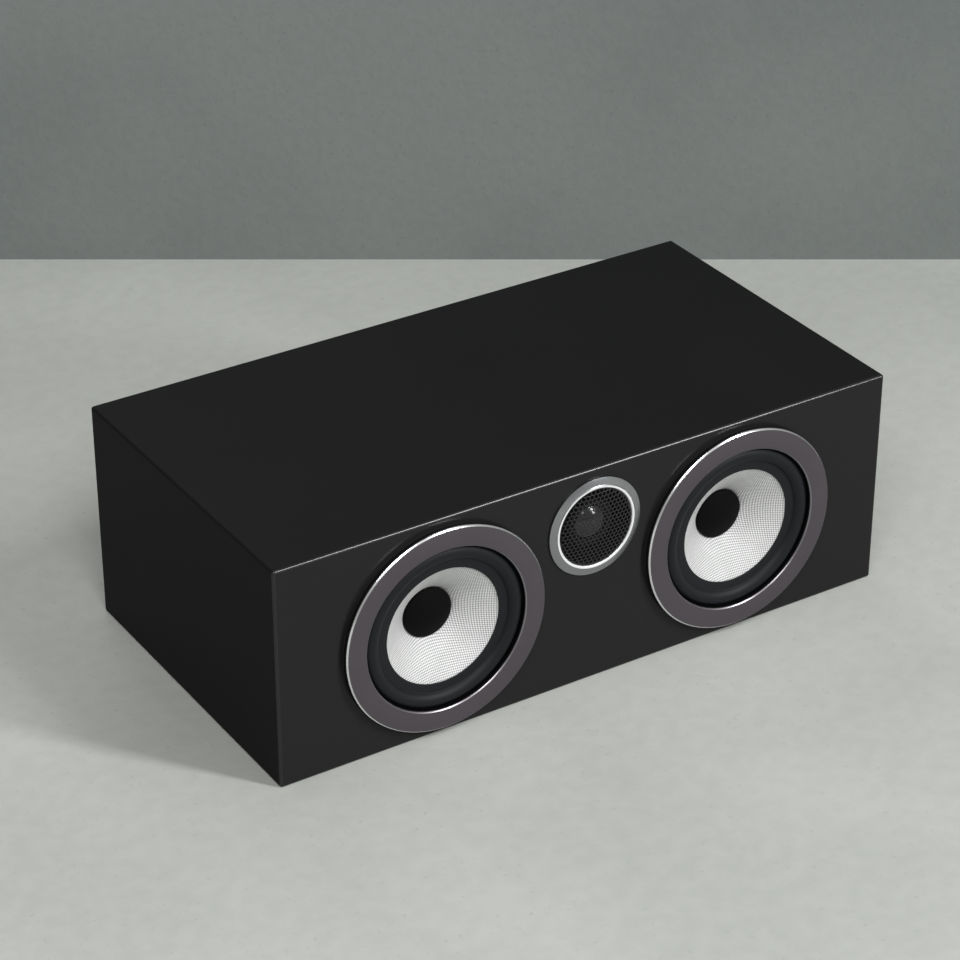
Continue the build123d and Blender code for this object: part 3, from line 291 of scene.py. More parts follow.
class Finish:
    """A material under construction, read from the piece's own coordinates."""

    def __init__(self, name):
        self.material = bpy.data.materials.new(f"{name}_finish")
        self.material.use_nodes = True
        self.tree = self.material.node_tree
        self.surface = self.tree.nodes["Principled BSDF"]
        self.place = self.node("ShaderNodeTexCoord", {}, {}, "Object")

    def node(self, kind, settings, sockets, output=0):
        """Adds a node: its settings first, then the values or links of its sockets."""
        made = self.tree.nodes.new(kind)
        for key, value in settings.items():
            setattr(made, key, value)
        for key, value in sockets.items():
            self.feed(made.inputs[key], value)
        return Wire(self, made.outputs[output])

    def feed(self, socket, value):
        """Links a wire to a socket, or sets the socket's own value."""
        if isinstance(value, Wire):
            self.tree.links.new(value.socket, socket)
        elif hasattr(value, "__len__") and socket.type == "RGBA":
            socket.default_value = (*value[:3], 1.0)
        else:
            socket.default_value = value

    def look(self, **values):
        """Sets or links the surface's sockets, named with underscores for spaces."""
        for key, value in values.items():
            self.feed(self.surface.inputs[key.replace("_", " ")], value)

    def axes(self):
        """The three coordinates as wires."""
        first = self.node("ShaderNodeSeparateXYZ", {}, {0: self.place})
        return [Wire(self, output) for output in first.socket.node.outputs]

    def noise(self, size, detail=2.0):
        """Cloudy value from 0 to 1 with patches of about a size."""
        sockets = {"Vector": self.place, "Scale": 1.0 / size, "Detail": detail}
        return self.node("ShaderNodeTexNoise", {}, sockets)

    def mix(self, share, first, second):
        """Colour between two others, by the colour sockets of a mix node."""
        return self.node("ShaderNodeMix", {"data_type": "RGBA"}, {0: share, 6: first, 7: second}, 2)

    def bump(self, height, distance):
        """Relief of a given depth, fed to the surface's normal."""
        relief = self.node("ShaderNodeBump", {}, {"Height": height, "Distance": distance, "Strength": 1.0})
        self.feed(self.surface.inputs["Normal"], relief)

    def step(self, value, start, end):
        """Share of the way from a start to an end, eased at both."""
        return self.node(
            "ShaderNodeMapRange",
            {"interpolation_type": "SMOOTHSTEP"},
            {"Value": value, "From Min": start, "From Max": end},
        )

    def radius_about(self, x, z):
        """Distance from an axis along Y; a pair of axes either side of the middle counts as one."""
        across, _, up = self.axes()
        side = across.math("ABSOLUTE", across) - x
        rise = up - z
        return across.math("SQRT", side * side + rise * rise)


def scaled(tint, factor):
    """A lighter or darker colour of the same hue."""
    return [value * factor for value in tint]


def lacquer(name, paint, front_paint_partly_painted_light):
    """Black paint, dull on the cabinet and satin on its front, with more shine where edges are rounded. The
    front and back faces get a lighter black: partly the satin finish, partly painted light for the light
    that falls on the front.
    """
    finish = Finish(name)
    haze = finish.noise(size=0.09)
    across, along, up = finish.axes()
    middle = CAD_BOX[1][2] / 2
    ends = across.math("ABSOLUTE", across) > CAD_BOX[1][0] - EDGE_POLISH
    fronts = across.math("ABSOLUTE", along) > -BAFFLE_Y - EDGE_POLISH
    tops = across.math("ABSOLUTE", up - middle) > middle - EDGE_POLISH
    edges = fronts * across.math("MAXIMUM", ends, tops)
    # Lighter black on the front and back faces: partly satin paint, partly painted light.
    dark = finish.mix(fronts, paint, front_paint_partly_painted_light)
    light = finish.mix(fronts, scaled(paint, factor=1.25), scaled(front_paint_partly_painted_light, factor=1.1))
    finish.look(
        Base_Color=finish.mix(haze, dark, light),
        Roughness=0.32 + haze * 0.1,
        Specular_IOR_Level=0.015,
        Coat_Weight=across.math("MAXIMUM", edges * EDGE_SHEEN, fronts * FRONT_SHEEN),
        Coat_IOR=2.0,
        Coat_Roughness=0.18,
    )
    finish.bump(finish.noise(size=0.0011), distance=0.000004)
    return finish.material


def turned_metal(name, face, polish, axis, bands, gloss, band_gloss, band_metal):
    """Lathe-finished metal: faint rings round an axis, and bands between two radii polished by a share."""
    finish = Finish(name)
    radius = finish.radius_about(axis.x, axis.z)
    sockets = {"W": radius, "Scale": LATHE_LINES}
    rings = finish.node("ShaderNodeTexNoise", {"noise_dimensions": "1D"}, sockets)
    cloud = finish.noise(size=0.03)
    bright = 0.0
    for inner, outer, share in bands:
        bright = ((radius > inner) - (radius > outer)) * share + bright
    dull = finish.mix(cloud, face, scaled(face, factor=1.12))
    finish.look(
        Base_Color=finish.mix(bright, dull, polish),
        Metallic=1.0 - bright * (1.0 - band_metal),
        Roughness=gloss + rings * 0.06 + bright * (band_gloss - gloss),
    )
    finish.bump(rings, distance=0.0000012)
    return finish.material


def woven(name, crown, shade, pitch):
    """Plain weave seen square to the cone's mouth: each thread goes over one and under the next."""
    finish = Finish(name)
    across, _, up = finish.axes()
    warp = across / pitch
    weft = up / pitch
    warp_row = across.math("FLOOR", warp)
    weft_row = across.math("FLOOR", weft)
    warp_round = across.math("SINE", (warp - warp_row) * math.pi)
    weft_round = across.math("SINE", (weft - weft_row) * math.pi)
    warp_over = across.math("SINE", (weft + warp_row) * math.pi) * 0.5 + 0.5
    weft_over = across.math("SINE", (warp + weft_row + 1.0) * math.pi) * 0.5 + 0.5
    height = across.math("MAXIMUM", warp_round * warp_over, weft_round * weft_over)
    cloud = finish.noise(size=0.012)
    finish.look(
        Base_Color=finish.mix(height * (0.85 + cloud * 0.3), shade, crown),
        Roughness=0.5 - height * 0.1,
        Specular_IOR_Level=0.85,
    )
    finish.bump(height, distance=0.0003)
    return finish.material


def grained(name, tint, roughness, grain=0.0006, depth=0.00001, metallic=0.0, spread=0.25, gloss=0.5):
    """Moulded, cast, pressed or woven stock: a fine grain over a soft drift of colour and gloss."""
    finish = Finish(name)
    cloud = finish.noise(grain * GRAINS_TO_A_CLOUD)
    fine = finish.noise(grain, detail=3.0)
    dark = scaled(tint, 1.0 - spread)
    finish.look(
        Base_Color=finish.mix(cloud * 0.6 + fine * 0.4, dark, tint),
        Roughness=roughness * 0.85 + fine * (roughness * 0.3),
        Metallic=metallic,
        Specular_IOR_Level=gloss,
    )
    finish.bump(fine, depth)
    return finish.material


def moulded(name, front_tint, rear_tint_painted_lighter):
    """Black moulding: dull round the drivers; the pieces at the back have a sheen and a lighter colour that
    is painted light for their shade.
    """
    finish = Finish(name)
    _, along, _ = finish.axes()
    # Pieces behind the middle get a coat and the lighter colour, which is painted light standing in for
    # light on the shaded back.
    behind = along > 0.0
    fine = finish.noise(size=0.0005, detail=3.0)
    dark = finish.mix(behind, scaled(front_tint, factor=0.75), scaled(rear_tint_painted_lighter, factor=0.75))
    light = finish.mix(behind, front_tint, rear_tint_painted_lighter)
    finish.look(
        Base_Color=finish.mix(fine, dark, light),
        Roughness=0.55 + fine * 0.2,
        Specular_IOR_Level=0.08,
        Coat_Weight=behind * 0.7,
        Coat_Roughness=0.4,
    )
    finish.bump(fine, distance=0.00003)
    return finish.material


def wound_wire(name, tint, gauge, former_tint, former_end):
    """Enamelled wire laid turn beside turn, and the dark former in front of the winding."""
    finish = Finish(name)
    _, along, up = finish.axes()
    turn = along.math("SINE", (along + up) * (2 * math.pi / gauge)) * 0.5 + 0.5
    wire = finish.mix(turn, scaled(tint, factor=0.4), tint)
    wound = along > former_end
    finish.look(
        Base_Color=finish.mix(wound, former_tint, wire),
        Metallic=wound,
        Roughness=0.42 - turn * 0.14,
    )
    finish.bump(turn, gauge / 4)
    return finish.material


def cloth(name, tint, pitch):
    """Open weave stiffened with resin."""
    finish = Finish(name)
    across, _, up = finish.axes()
    warp = across.math("SINE", across * (2 * math.pi / pitch))
    weft = across.math("SINE", up * (2 * math.pi / pitch))
    height = warp * weft * 0.5 + 0.5
    finish.look(Base_Color=finish.mix(height, scaled(tint, factor=0.6), tint), Roughness=0.8)
    finish.bump(height, pitch / 5)
    return finish.material


STOCK = {
    "bare_board": dict(tint=(0.42, 0.3, 0.18), roughness=0.85, grain=0.0012, spread=0.35),
    "black_casting": dict(
        tint=(0.004, 0.004, 0.004), roughness=0.6, grain=0.0007, depth=0.00004, gloss=0.2
    ),
    "foam": dict(tint=(0.015, 0.015, 0.015), roughness=0.95, grain=0.0009, depth=0.0002),
    "steel": dict(tint=(0.5, 0.5, 0.52), roughness=0.35, grain=0.0004, metallic=1.0),
    "ferrite": dict(tint=(0.05, 0.05, 0.052), roughness=0.7, grain=0.0008, depth=0.00005),
    "magnet_plating": dict(tint=(0.62, 0.61, 0.58), roughness=0.2, grain=0.0006, metallic=1.0, spread=0.1),
    "screw_black": dict(tint=(0.02, 0.02, 0.02), roughness=0.35, grain=0.0003, metallic=0.6),
    "brass": dict(tint=(0.78, 0.57, 0.25), roughness=0.22, grain=0.0004, metallic=1.0, spread=0.12),
    "knob_red": dict(tint=(0.42, 0.012, 0.012), roughness=0.3, grain=0.0005),
    "knob_black": dict(tint=(0.01, 0.01, 0.01), roughness=0.3, grain=0.0005),
    "circuit_board": dict(tint=(0.02, 0.13, 0.05), roughness=0.4, grain=0.0008),
    "sleeve": dict(tint=(0.6, 0.42, 0.06), roughness=0.3, grain=0.0007),
    "resistor_body": dict(tint=(0.75, 0.72, 0.65), roughness=0.75, grain=0.0005, depth=0.00004),
    "lead_jacket": dict(tint=(0.02, 0.02, 0.02), roughness=0.5, grain=0.0006),
    "wadding": dict(tint=(0.72, 0.71, 0.68), roughness=0.95, grain=0.0016, depth=0.0006),
}


class SPEAKER_OT_finishes(bpy.types.Operator):
    """Make the finishes and give each solid of the speaker its own"""

    bl_idname = "speaker.finishes"
    bl_label = "Finishes"

    def execute(self, context):
        tints = context.scene.speaker_colours
        woofer = context.scene.speaker_woofer
        tweeter = context.scene.speaker_tweeter
        ring_radius = radius_of("left_trim_ring")
        ring_bands = [
            (woofer.opening - MM, woofer.opening + woofer.inner_chamfer * POLISHED_SHARE, 0.2),
            (ring_radius - woofer.outer_chamfer * POLISHED_SHARE, ring_radius + MM, 1.0),
        ]
        lip_bands = [(tweeter.opening - MM, tweeter.opening + tweeter.polish, 1.0)]
        woofer_axis = WOOFER_AXIS["right"]
        made = {name: grained(name, **stock) for name, stock in STOCK.items()}
        made["black_plastic"] = moulded("black_plastic", FRONT_PLASTIC, REAR_PLASTIC_PAINTED_LIGHTER)
        made["black_lacquer"] = lacquer("black_lacquer", tints.lacquer, tints.front)
        made["gunmetal"] = turned_metal(
            "gunmetal",
            tints.gunmetal,
            tints.polish,
            woofer_axis,
            ring_bands,
            gloss=0.32,
            band_gloss=0.19,
            band_metal=1.0,
        )
        made["silver"] = turned_metal(
            "silver",
            tints.silver,
            tints.polish,
            TWEETER_AXIS,
            lip_bands,
            gloss=0.24,
            band_gloss=0.34,
            band_metal=0.35,
        )
        made["woven_cone"] = woven("woven_cone", tints.thread, tints.thread_shade, woofer.thread_pitch)
        made["surround_rubber"] = grained(
            "surround_rubber", tints.rubber, roughness=0.55, grain=0.0004, depth=0.00002, gloss=0.3
        )
        made["dome"] = grained(
            "dome", tints.dome, roughness=0.2, grain=0.0006, depth=0.000004, metallic=0.85
        )
        made["mesh_black"] = grained(
            "mesh_black", tints.mesh, roughness=0.38, grain=0.0003, depth=0.00001, gloss=0.4
        )
        former_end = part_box("left_voice_coil")[1].y - woofer.winding
        made["copper"] = wound_wire("copper", COPPER_TINT, WIRE_GAUGE, FORMER_TINT, former_end)
        made["spider_cloth"] = cloth("spider_cloth", SPIDER_TINT, SPIDER_PITCH)
        for node, slot in SLOT_OF_NODE.items():
            materials = frame["nodes"][node].data.materials
            materials.clear()
            materials.append(made[slot])
        return {"FINISHED"}


def turned_piece(name, axis, profile):
    """Lathe work: a ring at the first (radius, depth) of a profile, extruded from point to point.

    A first point on the axis starts from a flat cap as wide as the second one, a last one closes a pole, and
    a profile that comes back to its start is welded there.
    """
    capped = profile[0][0] == 0.0
    line = profile[1:] if capped else profile
    radius, depth = line[0]
    bpy.ops.object.select_all(action="DESELECT")
    bpy.ops.mesh.primitive_circle_add(
        vertices=TURN_SEGMENTS,
        radius=radius,
        fill_type="TRIFAN" if capped else "NOTHING",
        location=axis + Vector((0, depth, 0)),
        rotation=(math.pi / 2, 0, 0),
    )
    piece = bpy.context.object
    piece.name = name
    piece.data.name = name
    bpy.ops.object.transform_apply(location=True, rotation=True, scale=True)
    bpy.ops.object.mode_set(mode="EDIT")
    bpy.ops.mesh.select_mode(type="EDGE")
    bpy.ops.mesh.select_all(action="SELECT")
    if capped:
        bpy.ops.mesh.region_to_loop()
    for start, end in zip(line, line[1:]):
        share = end[0] / start[0]
        bpy.ops.mesh.extrude_edges_indiv()
        bpy.ops.transform.resize(value=(share, 1.0, share), center_override=axis)
        bpy.ops.transform.translate(value=(0.0, end[1] - start[1], 0.0))
    tidy_mesh()
    return piece


def tidy_mesh():
    """Welds the open mesh's doubles, points its faces outwards and leaves edit mode."""
    bpy.ops.mesh.select_all(action="SELECT")
    bpy.ops.mesh.remove_doubles(threshold=WELD)
    bpy.ops.mesh.normals_make_consistent(inside=False)
    bpy.ops.object.mode_set(mode="OBJECT")


def apply_modifier(piece, kind, **settings):
    """Adds a modifier with its settings and applies it."""
    bpy.context.view_layer.objects.active = piece
    modifier = piece.modifiers.new(kind.title(), kind)
    for key, value in settings.items():
        setattr(modifier, key, value)
    bpy.ops.object.modifier_apply(modifier=modifier.name)


def soften(piece, width, segments=2, angle=20.0):
    """Rounds a piece's edges and shades it smooth."""
    apply_modifier(
        piece,
        "BEVEL",
        width=width,
        segments=segments,
        limit_method="ANGLE",
        angle_limit=math.radians(angle),
        harden_normals=False,
    )
    shade(piece)


def shade(piece):
    """Smooth shading that keeps edges over the smoothing angle."""
    bpy.ops.object.select_all(action="DESELECT")
    piece.select_set(True)
    bpy.context.view_layer.objects.active = piece
    bpy.ops.object.shade_smooth_by_angle(angle=SMOOTH_ANGLE)


def copy_across(piece, name, shift):
    """The same piece on the other side, with a mesh of its own."""
    twin = piece.copy()
    twin.data = piece.data.copy()
    twin.name = name
    twin.data.name = name
    bpy.context.collection.objects.link(twin)
    bpy.ops.object.select_all(action="DESELECT")
    twin.select_set(True)
    bpy.context.view_layer.objects.active = twin
    twin.location = shift
    bpy.ops.object.transform_apply(location=True, rotation=False, scale=False)
    return twin


def dress(piece, node):
    """Stands a piece in for a solid: gives it the finish of the solid's slot and hides the solid."""
    slot = SLOT_OF_NODE[node]
    piece.data.materials.clear()
    piece.data.materials.append(bpy.data.materials[f"{slot}_finish"])
    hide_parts(node)


def hang_between(piece, outer, inner, moving_body, axis):
    """Joins a suspension to the cabinet at its outer radius and to the diaphragm at its inner one.
    """
    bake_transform(piece, "cabinet", moving_body, start=axis, end=axis + Vector((0, 1, 0)))
    shares = piece.data.attributes["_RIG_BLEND"].data
    for vertex, share in zip(piece.data.vertices, shares):
        offset = vertex.co - axis
        reach = (outer - math.hypot(offset.x, offset.z)) / (outer - inner)
        reach = min(1.0, max(0.0, reach))
        share.value = reach * reach * (3 - 2 * reach)


def both_woofers(piece, piece_name):
    """The piece of the left woofer and its copy for the right one, by side."""
    shift = WOOFER_AXIS["right"] - WOOFER_AXIS["left"]
    twin = copy_across(piece, f"right_{piece_name}_turned", shift)
    pieces = {"left": piece, "right": twin}
    for side, made in pieces.items():
        dress(made, f"{side}_{piece_name}")
    return pieces


def roll_profile(lip, inner, outer, edge, rise, plane, wall):
    """Closed line of a half-roll: a lip, a roll that bulges forward, a flange, and the same line behind."""
    half = (outer - inner) / 2
    middle = (outer + inner) / 2
    bend = (half * half + rise * rise) / (2 * rise)
    centre = plane - rise + bend
    line = []
    for side in (-1, 1):
        depth = plane + side * wall / 2
        radius = bend - side * wall / 2
        span = math.acos((centre - depth) / radius)
        steps = 28
        curve = []
        for step in range(steps + 1):
            turn = span * (2 * step / steps - 1)
            curve.append((middle + radius * math.sin(turn), centre - radius * math.cos(turn)))
        points = [(lip, depth), *curve, (edge, depth)]
        line += points if side < 0 else points[::-1]
    return [*line, line[0]]


class SPEAKER_OT_trim_rings(bpy.types.Operator):
    """Turn the woofers' flat rings with their polished chamfers"""

    bl_idname = "speaker.trim_rings"
    bl_label = "Trim Rings"

    def execute(self, context):
        shape = context.scene.speaker_woofer
        outer = radius_of("left_trim_ring")
        front, back = depths_of("left_trim_ring")
        profile = [
            (shape.opening, back),
            (outer, back),
            (outer, front + shape.outer_chamfer),
            (outer - shape.outer_chamfer, front),
            (shape.opening + shape.inner_chamfer, front),
            (shape.opening, front + shape.inner_chamfer),
            (shape.opening, back),
        ]
        ring = turned_piece("left_trim_ring_turned", WOOFER_AXIS["left"], profile)
        soften(ring, shape.softening)
        for made in both_woofers(ring, "trim_ring").values():
            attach(made, "cabinet")
        return {"FINISHED"}


class SPEAKER_OT_surrounds(bpy.types.Operator):
    """Mould the woofers' rubber half-rolls"""

    bl_idname = "speaker.surrounds"
    bl_label = "Surrounds"

    def execute(self, context):
        shape = context.scene.speaker_woofer
        edge = radius_of("left_surround")
        plane = shape.cone_seat - shape.rubber / 2
        profile = roll_profile(
            shape.cone_edge, shape.roll_inner, shape.roll_outer, edge, shape.roll_rise, plane, shape.rubber
        )
        roll = turned_piece("left_surround_turned", WOOFER_AXIS["left"], profile)
        soften(roll, shape.crease * 0.5, segments=3, angle=25.0)
        for side, made in both_woofers(roll, "surround").items():
            hang_between(made, shape.roll_outer, shape.roll_inner, f"{side}_diaphragm", WOOFER_AXIS[side])
        return {"FINISHED"}


class SPEAKER_OT_cones(bpy.types.Operator):
    """Form the woven cones, with their rims and neck collars"""

    bl_idname = "speaker.cones"
    bl_label = "Cones"

    def execute(self, context):
        shape = context.scene.speaker_woofer
        _, collar_back = depths_of("left_cone")
        neck_depth = collar_back - shape.collar_length
        run = shape.cone_edge - shape.neck
        rise = neck_depth - shape.cone_seat
        slant = math.hypot(run, rise)
        steps = 30
        front = []
        for step in range(steps + 1):
            share = step / steps
            bulge = shape.cone_flare * 4 * share * (1 - share) / slant
            radius = shape.neck + share * run - bulge * rise
            depth = neck_depth - share * rise - bulge * run
            front.append((radius, depth))
        front.append((shape.cone_rim, shape.cone_seat))
        outside = shape.neck + shape.collar
        back = [(radius, depth + shape.cone_thickness) for radius, depth in front if radius > outside]
        collar = [(outside, collar_back), (shape.neck, collar_back)]
        profile = [*front, *back[::-1], *collar, front[0]]
        cone = turned_piece("left_cone_turned", WOOFER_AXIS["left"], profile)
        shade(cone)
        for side, made in both_woofers(cone, "cone").items():
            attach(made, f"{side}_diaphragm")
        return {"FINISHED"}


class SPEAKER_OT_plugs(bpy.types.Operator):
    """Turn the black plugs in the middle of the cones"""

    bl_idname = "speaker.plugs"
    bl_label = "Plugs"

    def execute(self, context):
        shape = context.scene.speaker_woofer
        head = radius_of("left_plug")
        apex, stem_back = depths_of("left_plug")
        head_back = apex + shape.plug_rise + shape.plug_lip
        bend = (head * head + shape.plug_rise**2) / (2 * shape.plug_rise)
        steps = 16
        dome = []
        for step in range(steps + 1):
            radius = head * (1 - step / steps)
            dome.append((radius, apex + bend - math.sqrt(bend * bend - radius * radius)))
        profile = [
            (0.0, stem_back),
            (shape.plug_stem, stem_back),
            (shape.plug_stem, head_back),
            (head, head_back),
            *dome,
        ]
        plug = turned_piece("left_plug_turned", WOOFER_AXIS["left"], profile)
        soften(plug, shape.crease * 0.5, segments=3, angle=40.0)
        for side, made in both_woofers(plug, "plug").items():
            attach(made, f"{side}_diaphragm")
        return {"FINISHED"}


class SPEAKER_OT_spiders(bpy.types.Operator):
    """Press the corrugated spiders behind the cones"""

    bl_idname = "speaker.spiders"
    bl_label = "Spiders"

    def execute(self, context):
        shape = context.scene.speaker_woofer
        edge = radius_of("left_spider")
        front, back = depths_of("left_spider")
        plane = (front + back) / 2
        first = shape.neck + shape.spider_cuff
        last = edge - shape.spider_landing
        wall = back - front - 2 * shape.spider_rise
        waves = 4
        steps = 48
        profile = [(shape.neck, plane - wall / 2)]
        for step in range(steps + 1):
            share = step / steps
            wave = shape.spider_rise * math.sin(2 * math.pi * waves * share)
            profile.append((first + (last - first) * share, plane - wall / 2 - wave))
        profile.append((edge, plane - wall / 2))
        profile += [(radius, depth + wall) for radius, depth in profile[::-1]]
        spider = turned_piece("left_spider_turned", WOOFER_AXIS["left"], [*profile, profile[0]])
        shade(spider)
        for side, made in both_woofers(spider, "spider").items():
            hang_between(made, last, first, f"{side}_diaphragm", WOOFER_AXIS[side])
        return {"FINISHED"}


class SPEAKER_OT_tweeter_ring(bpy.types.Operator):
    """Turn the tweeter's silver ring with its polished lip"""

    bl_idname = "speaker.tweeter_ring"
    bl_label = "Tweeter Ring"

    def execute(self, context):
        shape = context.scene.speaker_tweeter
        outer = radius_of("tweeter_ring")
        front, back = depths_of("tweeter_ring")
        _, ledge = depths_of("tweeter_mesh")
        profile = [
            (outer, back),
            (outer, -shape.edge),
            (shape.lip, front + shape.lip_step),
            (shape.lip - shape.lip_step, front),
            (shape.opening + shape.lip_chamfer, front),
            (shape.opening, front + shape.lip_chamfer),
            (shape.opening, ledge),
            (shape.seat, ledge),
            (shape.seat, back),
            (outer, back),
        ]
        ring = turned_piece("tweeter_ring_turned", TWEETER_AXIS, profile)
        soften(ring, shape.softening)
        dress(ring, "tweeter_ring")
        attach(ring, "cabinet")
        return {"FINISHED"}


class SPEAKER_OT_tweeter_mesh(bpy.types.Operator):
    """Pierce the bulged mesh in front of the dome: six-sided holes between rounded strands, in a rim band"""

    bl_idname = "speaker.tweeter_mesh"
    bl_label = "Tweeter Mesh"

    def execute(self, context):
        shape = context.scene.speaker_tweeter
        outer = radius_of("tweeter_mesh")
        front, back = depths_of("tweeter_mesh")
        middle = TWEETER_AXIS + Vector((0, (front + back) / 2, 0))
        row = shape.pitch * math.sqrt(3) / 2
        columns = 2 * math.ceil(outer / shape.pitch) + 1
        rows = 2 * math.ceil(outer / (2 * row))
        corner = middle - Vector(((columns - 1) / 2 * shape.pitch, 0, rows * row))
        bpy.ops.object.select_all(action="DESELECT")
        bpy.ops.mesh.primitive_circle_add(
            vertices=6,
            radius=shape.pitch / math.sqrt(3),
            fill_type="NGON",
            location=corner,
            rotation=(math.pi / 2, 0, 0),
        )
        sheet = bpy.context.object
        sheet.name = "tweeter_mesh_pierced"
        sheet.data.name = sheet.name
        bpy.ops.object.transform_apply(location=True, rotation=True, scale=True)
        bpy.ops.object.mode_set(mode="EDIT")
        bpy.ops.mesh.select_mode(type="FACE")
        bpy.ops.mesh.select_all(action="SELECT")
        bpy.ops.mesh.inset(thickness=(shape.pitch - shape.hole) / 2)
        bpy.ops.mesh.delete(type="ONLY_FACE")
        bpy.ops.object.mode_set(mode="OBJECT")
        tiling = (
            (columns, (shape.pitch, 0, 0)),
            (2, (shape.pitch / 2, 0, row)),
            (rows + 1, (0, 0, 2 * row)),
        )
        for count, offset in tiling:
            apply_modifier(
                sheet,
                "ARRAY",
                count=count,
                use_relative_offset=False,
                use_constant_offset=True,
                constant_offset_displace=offset,
            )
        reach = outer - shape.rim / 2
        for face in sheet.data.polygons:
            offset = face.center - middle
            face.select = math.hypot(offset.x, offset.z) > reach
        bpy.ops.object.mode_set(mode="EDIT")
        bpy.ops.mesh.delete(type="FACE")
        bpy.ops.mesh.select_mode(type="VERT")
        tidy_mesh()
        bpy.ops.object.mode_set(mode="EDIT")
        bpy.ops.mesh.select_all(action="DESELECT")
        bpy.ops.object.mode_set(mode="OBJECT")
        for vertex in sheet.data.vertices:
            vertex.select = (vertex.co - middle).length < shape.pitch
        inner = outer - shape.rim
        bpy.ops.object.mode_set(mode="EDIT")
        bpy.ops.transform.translate(
            value=(0.0, -shape.bulge, 0.0),
            use_proportional_edit=True,
            proportional_edit_falloff="SPHERE",
            proportional_size=inner,
        )
        bpy.ops.object.mode_set(mode="OBJECT")
        apply_modifier(sheet, "SOLIDIFY", thickness=shape.sheet, offset=0.0)
        apply_modifier(sheet, "SUBSURF", levels=1, render_levels=1)
        proud = shape.rim_proud
        band = turned_piece(
            "tweeter_mesh_rim",
            TWEETER_AXIS,
            [(inner, back), (outer, back), (outer, front - proud), (inner, front - proud), (inner, back)],
        )
        soften(band, shape.softening)
        bpy.ops.object.select_all(action="DESELECT")
        band.select_set(True)
        sheet.select_set(True)
        bpy.context.view_layer.objects.active = sheet
        bpy.ops.object.join()
        shade(sheet)
        dress(sheet, "tweeter_mesh")
        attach(sheet, "cabinet")
        return {"FINISHED"}


class SPEAKER_OT_tweeter_dome(bpy.types.Operator):
    """Press the dome and the narrow roll that carries it"""

    bl_idname = "speaker.tweeter_dome"
    bl_label = "Tweeter Dome"

    def execute(self, context):
        shape = context.scene.speaker_tweeter
        rise = shape.dome_seat - shape.dome_apex
        bend = (shape.dome_radius**2 + rise**2) / (2 * rise)
        steps = 20
        front = []
        for step in range(steps + 1):
            radius = shape.dome_radius * (1 - step / steps)
            front.append((radius, shape.dome_apex + bend - math.sqrt(bend * bend - radius * radius)))
        inside = [(radius, depth + shape.dome_wall) for radius, depth in front[-2::-1]]
        cap = (0.0, inside[0][1])
        dome = turned_piece("tweeter_dome_pressed", TWEETER_AXIS, [cap, *inside, *front])
        shade(dome)
        dress(dome, "tweeter_dome")
        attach(dome, "tweeter_diaphragm")
        lip = shape.dome_radius + shape.roll_gap
        outer = lip + shape.roll_width
        edge = radius_of("tweeter_surround")
        plane = shape.dome_seat - shape.dome_wall / 2
        inner = lip + shape.roll_foot
        profile = roll_profile(lip, inner, outer, edge, shape.roll_rise, plane, shape.dome_wall)
        roll = turned_piece("tweeter_surround_moulded", TWEETER_AXIS, profile)
        shade(roll)
        dress(roll, "tweeter_surround")
        hang_between(roll, outer, lip, "tweeter_diaphragm", TWEETER_AXIS)
        return {"FINISHED"}


def cut_away(piece, cutter):
    """Takes a cutter's shape out of a piece and throws the cutter away."""
    apply_modifier(piece, "BOOLEAN", operation="DIFFERENCE", solver="EXACT", object=cutter)
    bpy.data.objects.remove(cutter)


class SPEAKER_OT_knobs(bpy.types.Operator):
    """Turn the binding posts' knobs and cut their grip flutes"""

    bl_idname = "speaker.knobs"
    bl_label = "Terminal Knobs"

    flutes = 12

    def execute(self, context):
        shape = context.scene.speaker_terminals
        low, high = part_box("positive_knob")
        outer = (high.x - low.x) / 2
        axis = Vector(((low.x + high.x) / 2, 0, (low.z + high.z) / 2))
        profile = [
            (shape.bore, low.y),
            (outer, low.y),
            (outer, high.y - shape.chamfer),
            (outer - shape.chamfer, high.y),
            (shape.bore, high.y),
            (shape.bore, low.y),
        ]
        knob = turned_piece("positive_knob_fluted", axis, profile)
        start = low.y + shape.flute_start
        reach = high.y - start
        bpy.ops.mesh.primitive_cylinder_add(
            vertices=CUTTER_SEGMENTS,
            radius=shape.flute,
            depth=reach * 2,
            location=axis + Vector((outer + shape.flute_offset, start + reach, 0)),
            rotation=(math.pi / 2, 0, 0),
        )
        cutter = bpy.context.object
        bpy.ops.object.transform_apply(location=True, rotation=True, scale=True)
        bpy.ops.object.mode_set(mode="EDIT")
        bpy.ops.mesh.select_all(action="SELECT")
        step = 2 * math.pi / self.flutes
        bpy.ops.mesh.spin(
            steps=self.flutes - 1, dupli=True, angle=step * (self.flutes - 1), center=axis, axis=(0, 1, 0)
        )
        tidy_mesh()
        cut_away(knob, cutter)
        soften(knob, shape.softening, angle=30.0)
        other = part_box("negative_knob")[0].x - low.x
        twin = copy_across(knob, "negative_knob_fluted", Vector((other, 0, 0)))
        for pole, made in (("positive", knob), ("negative", twin)):
            dress(made, f"{pole}_knob")
            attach(made, f"{pole}_cap")
        return {"FINISHED"}


